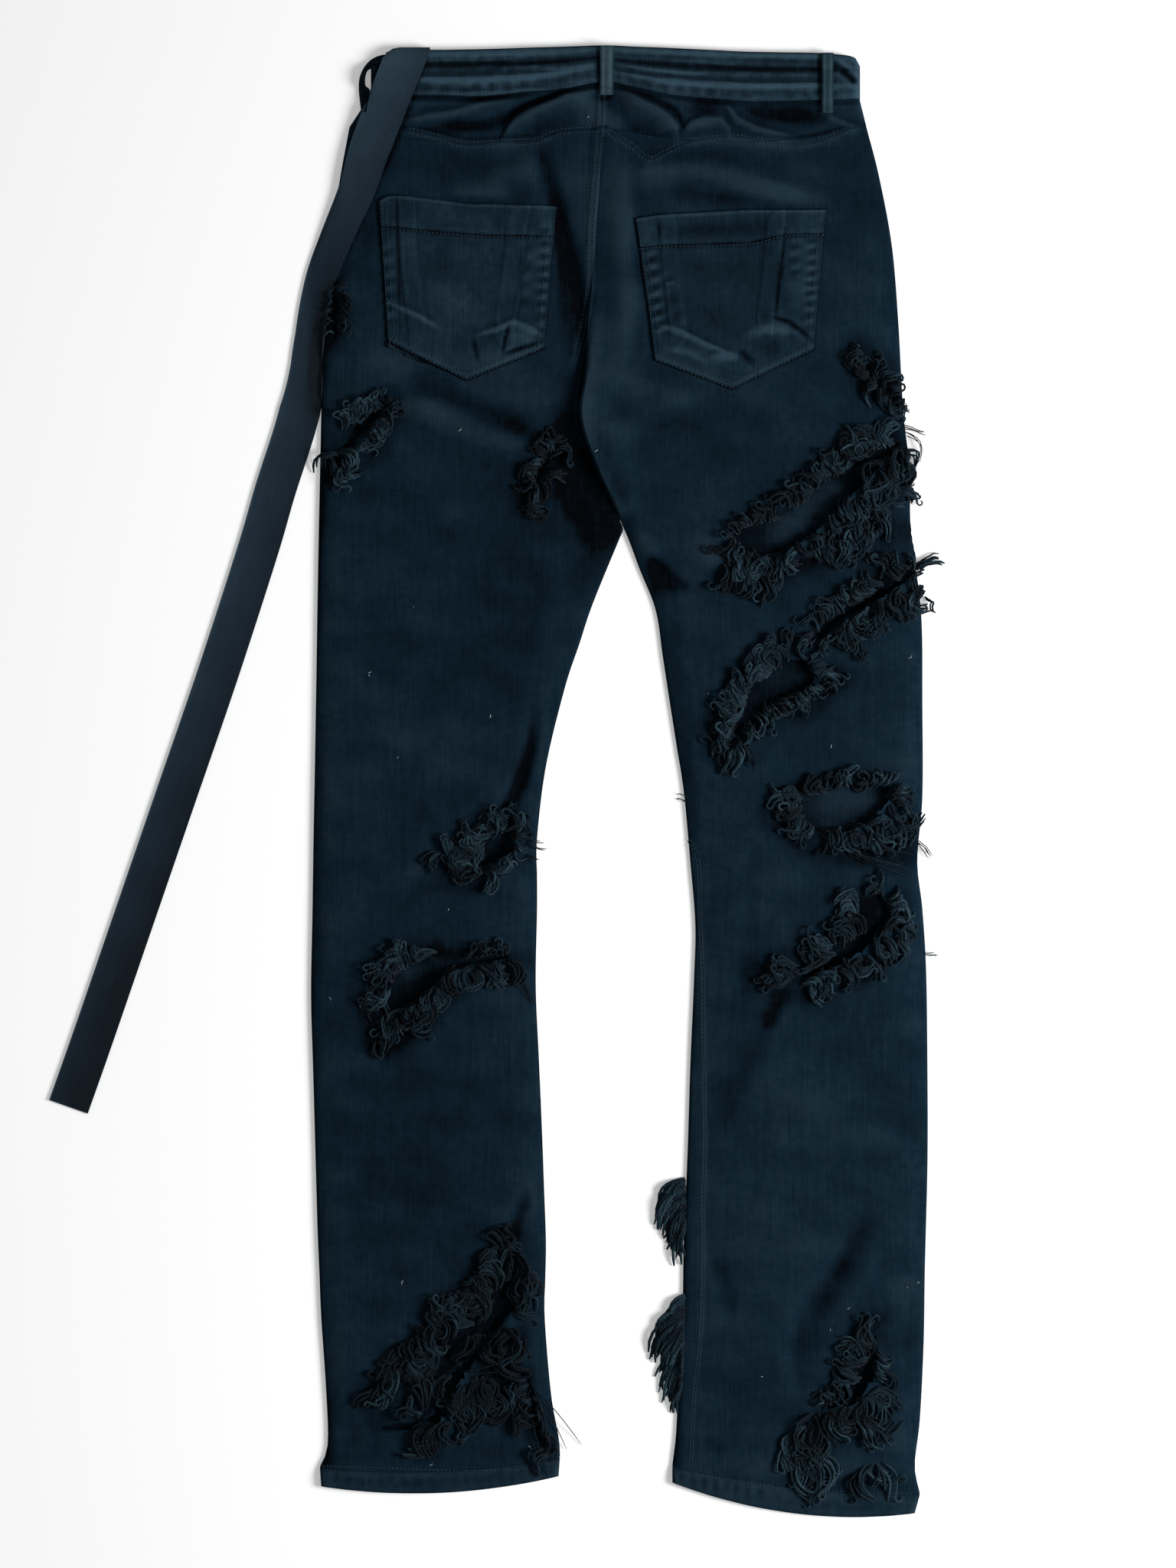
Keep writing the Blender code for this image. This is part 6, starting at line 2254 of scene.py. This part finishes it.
FLY_OUTLINE = ((50, 560), (50, 430), (55, 408), (66, 396), (98, 390), (98, 560))

# Painted light on the front's inner side, where light reaches it through the wider rips
INSIDE_PAINTED_LIGHT = hand_placed(
    DyeAndLight, Side.RIGHT,
    (0.66, (11, 10), (282, 236), (262, 222), (240, 204), (214, 190)),
    (0.5, 16, (246, -16), (280, -14), (312, -14)),
    (0.1, 16, (234, 90), (214, 74)),
) + hand_placed(
    DyeAndLight, Side.LEFT,
    (0.45, 9, (-67, -144), (-66, -158)),
)
# Painted light and shade on the pockets: highlights on their ridges, shade in their creases and along their
# seams, with a few broader paler and darker patches
LEFT_POCKET_DYE_AND_LIGHT = hand_placed(
    DyeAndLight, None,
    (0.16, (14, 18), (-60, 378), (-20, 366), (10, 362)),
    (0.1, 10, (-60, 340), (-20, 326), (30, 340)),
    (0.34, 7, (14, 350), (34, 346)),
    (0.3, (1.6, 3), (-12, 350), (2, 354.5), (14, 358.5)),
    (0.5, (2, 2.6), (14, 361), (26, 356), (39, 349)),
    (-0.5, 1.5, (9, 334), (24, 340), (39, 345)),
    (-0.4, 1.4, (13, 357), (10, 346), (8, 334)),
    (-0.22, 2.2, (-16, 348), (-13, 338), (-11, 328)),
    (0.3, (1.4, 1.8), (-82, 375), (-62, 367), (-44, 357)),
    (-0.36, 1.3, (-74.5, 457), (-74, 430), (-73, 400), (-72, 352)),
    (-0.32, 1.6, (24, 422), (21, 390), (16, 364)),
    (-0.14, 9, (-46, 418), (-40, 404), (-44, 388)),
    (-0.14, (12, 9), (0, 440), (10, 436)),
    (0.12, 7, (34, 424), (32, 400), (28, 380)),
    (0.1, 4, (47, 440), (43, 390), (40, 350)),
)
RIGHT_POCKET_DYE_AND_LIGHT = hand_placed(
    DyeAndLight, None,
    (-0.32, (7, 8), (136, 431), (180, 432), (224, 436)),
    (-0.16, 7, (214, 436), (218, 410), (222, 380)),
    (-0.18, 6, (213, 374), (215, 350)),
    (-0.14, (12, 16), (150, 408), (180, 396), (216, 410)),
    (-0.12, (12, 10), (160, 366), (186, 356), (200, 356)),
    (0.16, 8, (120, 431), (126, 430)),
    (0.16, 8, (246, 440), (244, 390), (240, 366)),
    (0.55, (1.5, 2.4), (129, 357.5), (148, 351), (165, 342.5), (182, 336.5)),
    (0.2, 7, (136, 338), (160, 336), (176, 330), (192, 330)),
    (0.3, (3, 4), (177, 333), (190, 333)),
    (0.24, 6, (200, 352), (218, 354), (236, 350)),
    (-0.5, 1.5, (219, 363), (232, 359), (243, 351), (250, 344)),
    (-0.3, 3.6, (192, 336), (199, 331), (204, 326)),
    (-0.2, 6, (214, 342), (226, 334)),
    (-0.2, 2, (129, 345), (132, 335)),
    (-0.4, 1.8, (228, 424), (225, 400), (221, 364)),
    (-0.36, 1.3, (131, 440), (131, 424)),
    (-0.1, 3, (134, 414), (140, 388), (146, 352)),
)
LEFT_POCKET_FORMS = (
    FelledSeam(((-74.6, 452), (-73.4, 420), (-69.5, 380), (-66, 352)), 14.5, 0.3, 0.4),
    FelledSeam(((28, 436), (24, 400), (18, 352)), -16.0, 0.4, 0.4),
    Puckers(((-83, 420), (-81, 385), (-80, 360)), 11.0, 0.45, 5.0),
    Puckers(((41, 436), (39, 390), (37, 350)), 9.6, 0.62, 4.5),
    Puckers(((29, 426), (28, 400), (24, 366)), 14.0, 0.42, 4.0),
) + hand_placed(
    Crease, None,
    (0.9, (1.4, 3), (-81, 374), (-60, 365), (-40, 354)),
    (1.2, (1.6, 3), (-12, 349), (2, 354), (16, 360), (28, 355), (40, 349)),
    (-0.9, 1.4, (8, 334), (24, 339), (40, 344)),
    (-0.8, 1.4, (13, 358), (10, 346), (8, 334)),
    (-0.45, 2, (-16, 348), (-13, 338), (-11, 328)),
    (-0.4, 1.3, (-78, 336), (-48, 326), (-20, 320)),
)
RIGHT_POCKET_FORMS = (
    FelledSeam(((130, 436), (133, 400), (139, 350)), 14.0, 0.3, 0.35),
    FelledSeam(((229, 434), (226, 400), (221, 362)), -14.0, 0.5, 0.5),
    Puckers(((124, 414), (127, 384), (131, 350)), 10.4, 0.75, 5.0),
    Puckers(((136, 400), (141, 376), (143, 356)), 14.0, 0.4, 5.0),
    Puckers(((250, 428), (249, 390), (247, 352)), 8.4, 0.6, 4.0),
    Puckers(((236, 424), (236, 396)), 10.0, 0.5, 4.5),
) + hand_placed(
    Crease, None,
    (1.3, (1.6, 3.4), (129, 358), (148, 352), (165, 343), (184, 336)),
    (0.8, 3, (136, 338), (152, 336), (168, 326)),
    (1, (2.6, 4), (168, 331), (180, 334), (194, 332)),
    (-1, 1.5, (218, 364), (232, 360), (243, 352), (251, 344)),
    (1, (4, 5), (196, 348), (216, 355), (236, 351)),
    (-0.6, 2.6, (192, 339), (199, 332), (206, 325)),
    (0.8, 1.6, (134, 389), (143, 390)),
)
LEFT_POCKET_HEM = ((-90, 434), (-60, 431), (-30, 428.5), (0, 426.5), (52, 426))
RIGHT_POCKET_HEM = ((110, 416.5), (140, 419), (200, 421), (228, 427), (264, 428))

WAISTBAND_FORMS = (
    Puckers(((-60, 544), (0, 544), (60, 549)), 13.0, 0.2, 4.0),
    Puckers(((100, 550), (160, 540), (230, 538), (288, 539)), 13.0, 0.2, 4.0),
) + hand_placed(
    Crease, None,
    (1.5, (1.4, 4.5), (-90, 550), (-30, 550), (0, 551), (45, 554), (84, 560)),
    (-1.8, (1.4, 2.4), (-90, 561), (-30, 561), (0, 562), (45, 563.5), (86, 566.5)),
    (0.8, (2.2, 1.8), (-90, 568), (0, 569), (50, 570), (86, 572)),
    (0.6, 1.2, (40, 556.5), (60, 558), (86, 562)),
    (1.5, (1.4, 4.5), (92, 556), (115, 552), (130, 549.5), (165, 546.5), (200, 545), (288, 545)),
    (-1.9, (1.8, 2.2), (92, 565), (140, 560.5), (190, 558), (288, 557)),
    (0.8, (2.2, 2), (92, 572), (140, 570), (180, 568.5), (255, 566.5), (280, 562)),
    (0.7, 1.2, (98, 561), (120, 557), (140, 555), (170, 552.5)),
    (-1.8, 2, (266, 562), (276, 554), (288, 544)),
    (1, 2.4, (268, 566), (280, 558), (290, 550)),
)
# Painted light and shade on the waistband: highlights on its rolls, shade in its creases, shadows beside the
# belt loops, the strap and the standing loop, and paler lines near its lower edge
WAISTBAND_DYE_AND_LIGHT = hand_placed(
    DyeAndLight, None,
    (-0.36, (1.2, 1.6), (-90, 561.5), (0, 562), (45, 563.5), (86, 566.5)),
    (-0.16, 2.6, (-60, 557), (-20, 556), (20, 558)),
    (-0.26, 1.2, (20, 565.5), (60, 566), (86, 567.5)),
    (0.34, (1.2, 3.4), (-64, 549), (0, 550.5), (45, 554), (86, 560)),
    (0.16, 4, (-60, 546), (-20, 546), (40, 549)),
    (0.3, 1.1, (30, 556.5), (60, 558.5), (86, 562)),
    (0.36, 0.9, (-64, 538.6), (0, 538), (25, 541), (55, 541), (72, 547), (88, 551)),
    (-0.22, 1, (-64, 541.6), (0, 541), (25, 543.6), (55, 543.6)),
    (-0.34, (1.4, 1.6), (92, 565), (140, 561), (180, 559)),
    (-0.6, (1.8, 2), (160, 559.5), (200, 558), (255, 557), (286, 556)),
    (0.34, (1.2, 2.6), (92, 556), (115, 552), (130, 549.5), (165, 546.5), (200, 545), (262, 546)),
    (0.22, (1.2, 1.4), (98, 561), (120, 557), (140, 555), (170, 552.5)),
    (0.26, 0.9, (98, 546.5), (115, 541.5), (150, 536.5), (200, 533), (255, 532.6), (288, 535)),
    (-0.2, 2.4, (190, 564), (230, 563), (286, 561)),
    (-0.4, 2.2, (268, 561), (277, 553), (287, 545)),
    (0.16, 10, (80, 566), (90, 560)),
    (-0.5, 1.2, (82.6, 574), (83.6, 552)),
    (-0.5, 1.2, (255, 568), (256, 540)),
    (-0.5, 2.4, (-50, 572), (-58, 548), (-67, 522)),
    (-0.6, 6, (-86, 570), (-93, 558), (-96, 540)),
)
LEFT_HEM_LINE = ((-138, -536), (-90, -537), (-40, -539), (0, -539), (52, -538))
RIGHT_HEM_LINE = ((142, -541), (157, -542), (228, -552), (280, -556), (334, -558))

SPECKS = (
    (-70.8, -392.6), (-70.2, -391.4), (-47.8, -535), (29.5, -521), (-34.3, -100.4), (-127, -169.6),
    (279, -412.6), (264.6, -429.3), (324.8, -395.8), (333.4, -392.5), (211, -466), (169, 69),
    (265.4, 27.3), (327.6, 97),
    (-61.7, 136.6), (-96, 85), (-96.4, 83), (-1.3, 51), (-73.9, 18.5), (81.5, 258.2), (-25, 274.8), (75, 520),
)

INSEAM = ((152.8, -46), (160, -64), (161.6, -112), (163.2, -145), (164, -204), (165, -288), (163.2, -335),
          (164, -364), (162, -431), (157, -479), (154.6, -527), (153.6, -536))
CENTRE_SEAM = ((90, 545), (88, 513), (84, 468), (81, 432), (80, 393), (77, 365), (71.5, 342), (67, 326))


def sew(ground: Ground) -> None:
    """Sews every row of topstitching."""
    seams = Topstitching("seam_stitches", ground)
    seams.rows(smooth_route(YOKE_SEAM_LEFT, 4.0)[12:-1], 1.0, -2.8)
    seams.rows(smooth_route(YOKE_SEAM_RIGHT, 4.0)[1:-4], 0.8, -2.8)
    seams.rows(smooth_route(CENTRE_SEAM, 4.0), -1.8, -5.8)
    seams.rows(smooth_route(INSEAM, 4.0), 0.0, 2.2)
    seams.build()
    pockets = Topstitching("pocket_stitches", ground)
    for side, hem in ((Side.LEFT, LEFT_POCKET_HEM), (Side.RIGHT, RIGHT_POCKET_HEM)):
        sides = FourSides.of_node(f"back_pocket_{side.value}", 2.0)
        pockets.rows(sides.left, -1.3, -5.4)
        pockets.rows(sides.right, 1.3, 5.4)
        pockets.rows(sides.bottom, 1.3, 5.4)
        pockets.rows(smooth_route(hem, 4.0)[1:-1], -0.6)
    pockets.build()
    bands = Topstitching("band_stitches", ground)
    bands.rows(FourSides.of_node("waistband", 2.0).bottom[3:-3], 1.8)
    bands.rows(smooth_route(LEFT_HEM_LINE, 4.0)[1:-1], 0.0)
    bands.rows(smooth_route(RIGHT_HEM_LINE, 4.0)[1:-1], 0.0)
    bands.build()


def main() -> None:
    """Builds the dressed garment on its floor, under its lamps."""
    logging.basicConfig(level=logging.INFO, format="%(name)s %(message)s")
    panels = {side: FourSides.of_node(f"back_leg_{side.value}") for side in Side}
    mended = unripped(panels[Side.RIGHT].right, FourSides.of_node("front_leg_right").right)
    panels[Side.RIGHT] = panels[Side.RIGHT].with_right(mended)
    seams = (
        FelledSeam(YOKE_SEAM_LEFT, -5.5, 0.6, 0.4),
        FelledSeam(YOKE_SEAM_RIGHT, -5.5, 0.6, 0.4),
        FelledSeam(CENTRE_SEAM, -8.0, 0.7, 0.35),
    )
    lie = Lie(panels, forms=BACK_FORMS + seams)
    for side in Side:
        FrontCloth(side, FLY_OUTLINE).build()
    FlyCloth().build()
    carriers = [LegCloth(side, lie).build() for side in Side]
    carriers += [YokeCloth(side, lie).build() for side in Side]
    pockets = (
        (Side.LEFT, LEFT_POCKET_FORMS, LEFT_POCKET_DYE_AND_LIGHT, LEFT_POCKET_HEM),
        (Side.RIGHT, RIGHT_POCKET_FORMS, RIGHT_POCKET_DYE_AND_LIGHT, RIGHT_POCKET_HEM),
    )
    carriers += [PatchPocket(side, lie, *looks).build() for side, *looks in pockets]
    waistband = Band(
        "waistband", WAIST_DENIM, "waist_denim", 6.4, WAISTBAND_FORMS, WAISTBAND_DYE_AND_LIGHT, seat=(88, 558, 9.0)
    )
    carriers.append(waistband.build())
    for side, line, paleness in ((Side.LEFT, LEFT_HEM_LINE, 0.02), (Side.RIGHT, RIGHT_HEM_LINE, 0.14)):
        forms = (Puckers(line, 9.0, 0.5, 9.0), Crease(line, -0.7, 1.4, 1.4))
        joins = partial(lie.height, side=side)
        dye_and_light = (DyeAndLight(beside(np.array(line, float), -7.0), paleness, 7.0, 9.0),)
        hem = Band(f"hem_{side.value}", BODY_DENIM, "denim", 5.6, forms, dye_and_light, joins=joins)
        carriers.append(hem.build())
    WaistButton().build()
    ground = Ground(carriers)
    loops = [
        LyingLoop("belt_loop_centre", (89.8, 575.5), (89.6, 537), 10.8, 0.6, ground).build(),
        LyingLoop("belt_loop_right", (262.4, 570), (262.4, 523), 9.4, 0.36, ground).build(),
    ]
    StandingLoop().build()
    Strap(Ground(carriers + loops)).build()
    sew(ground)
    for number, (node, clumps) in enumerate(FRAYS.items()):
        Fraying(node, clumps, ground, 100 + number, **HABITS.get(node, {})).build()
    Lint(ground, SPECKS).build()
    Studio().build()


if __name__ == "__main__":
    main()
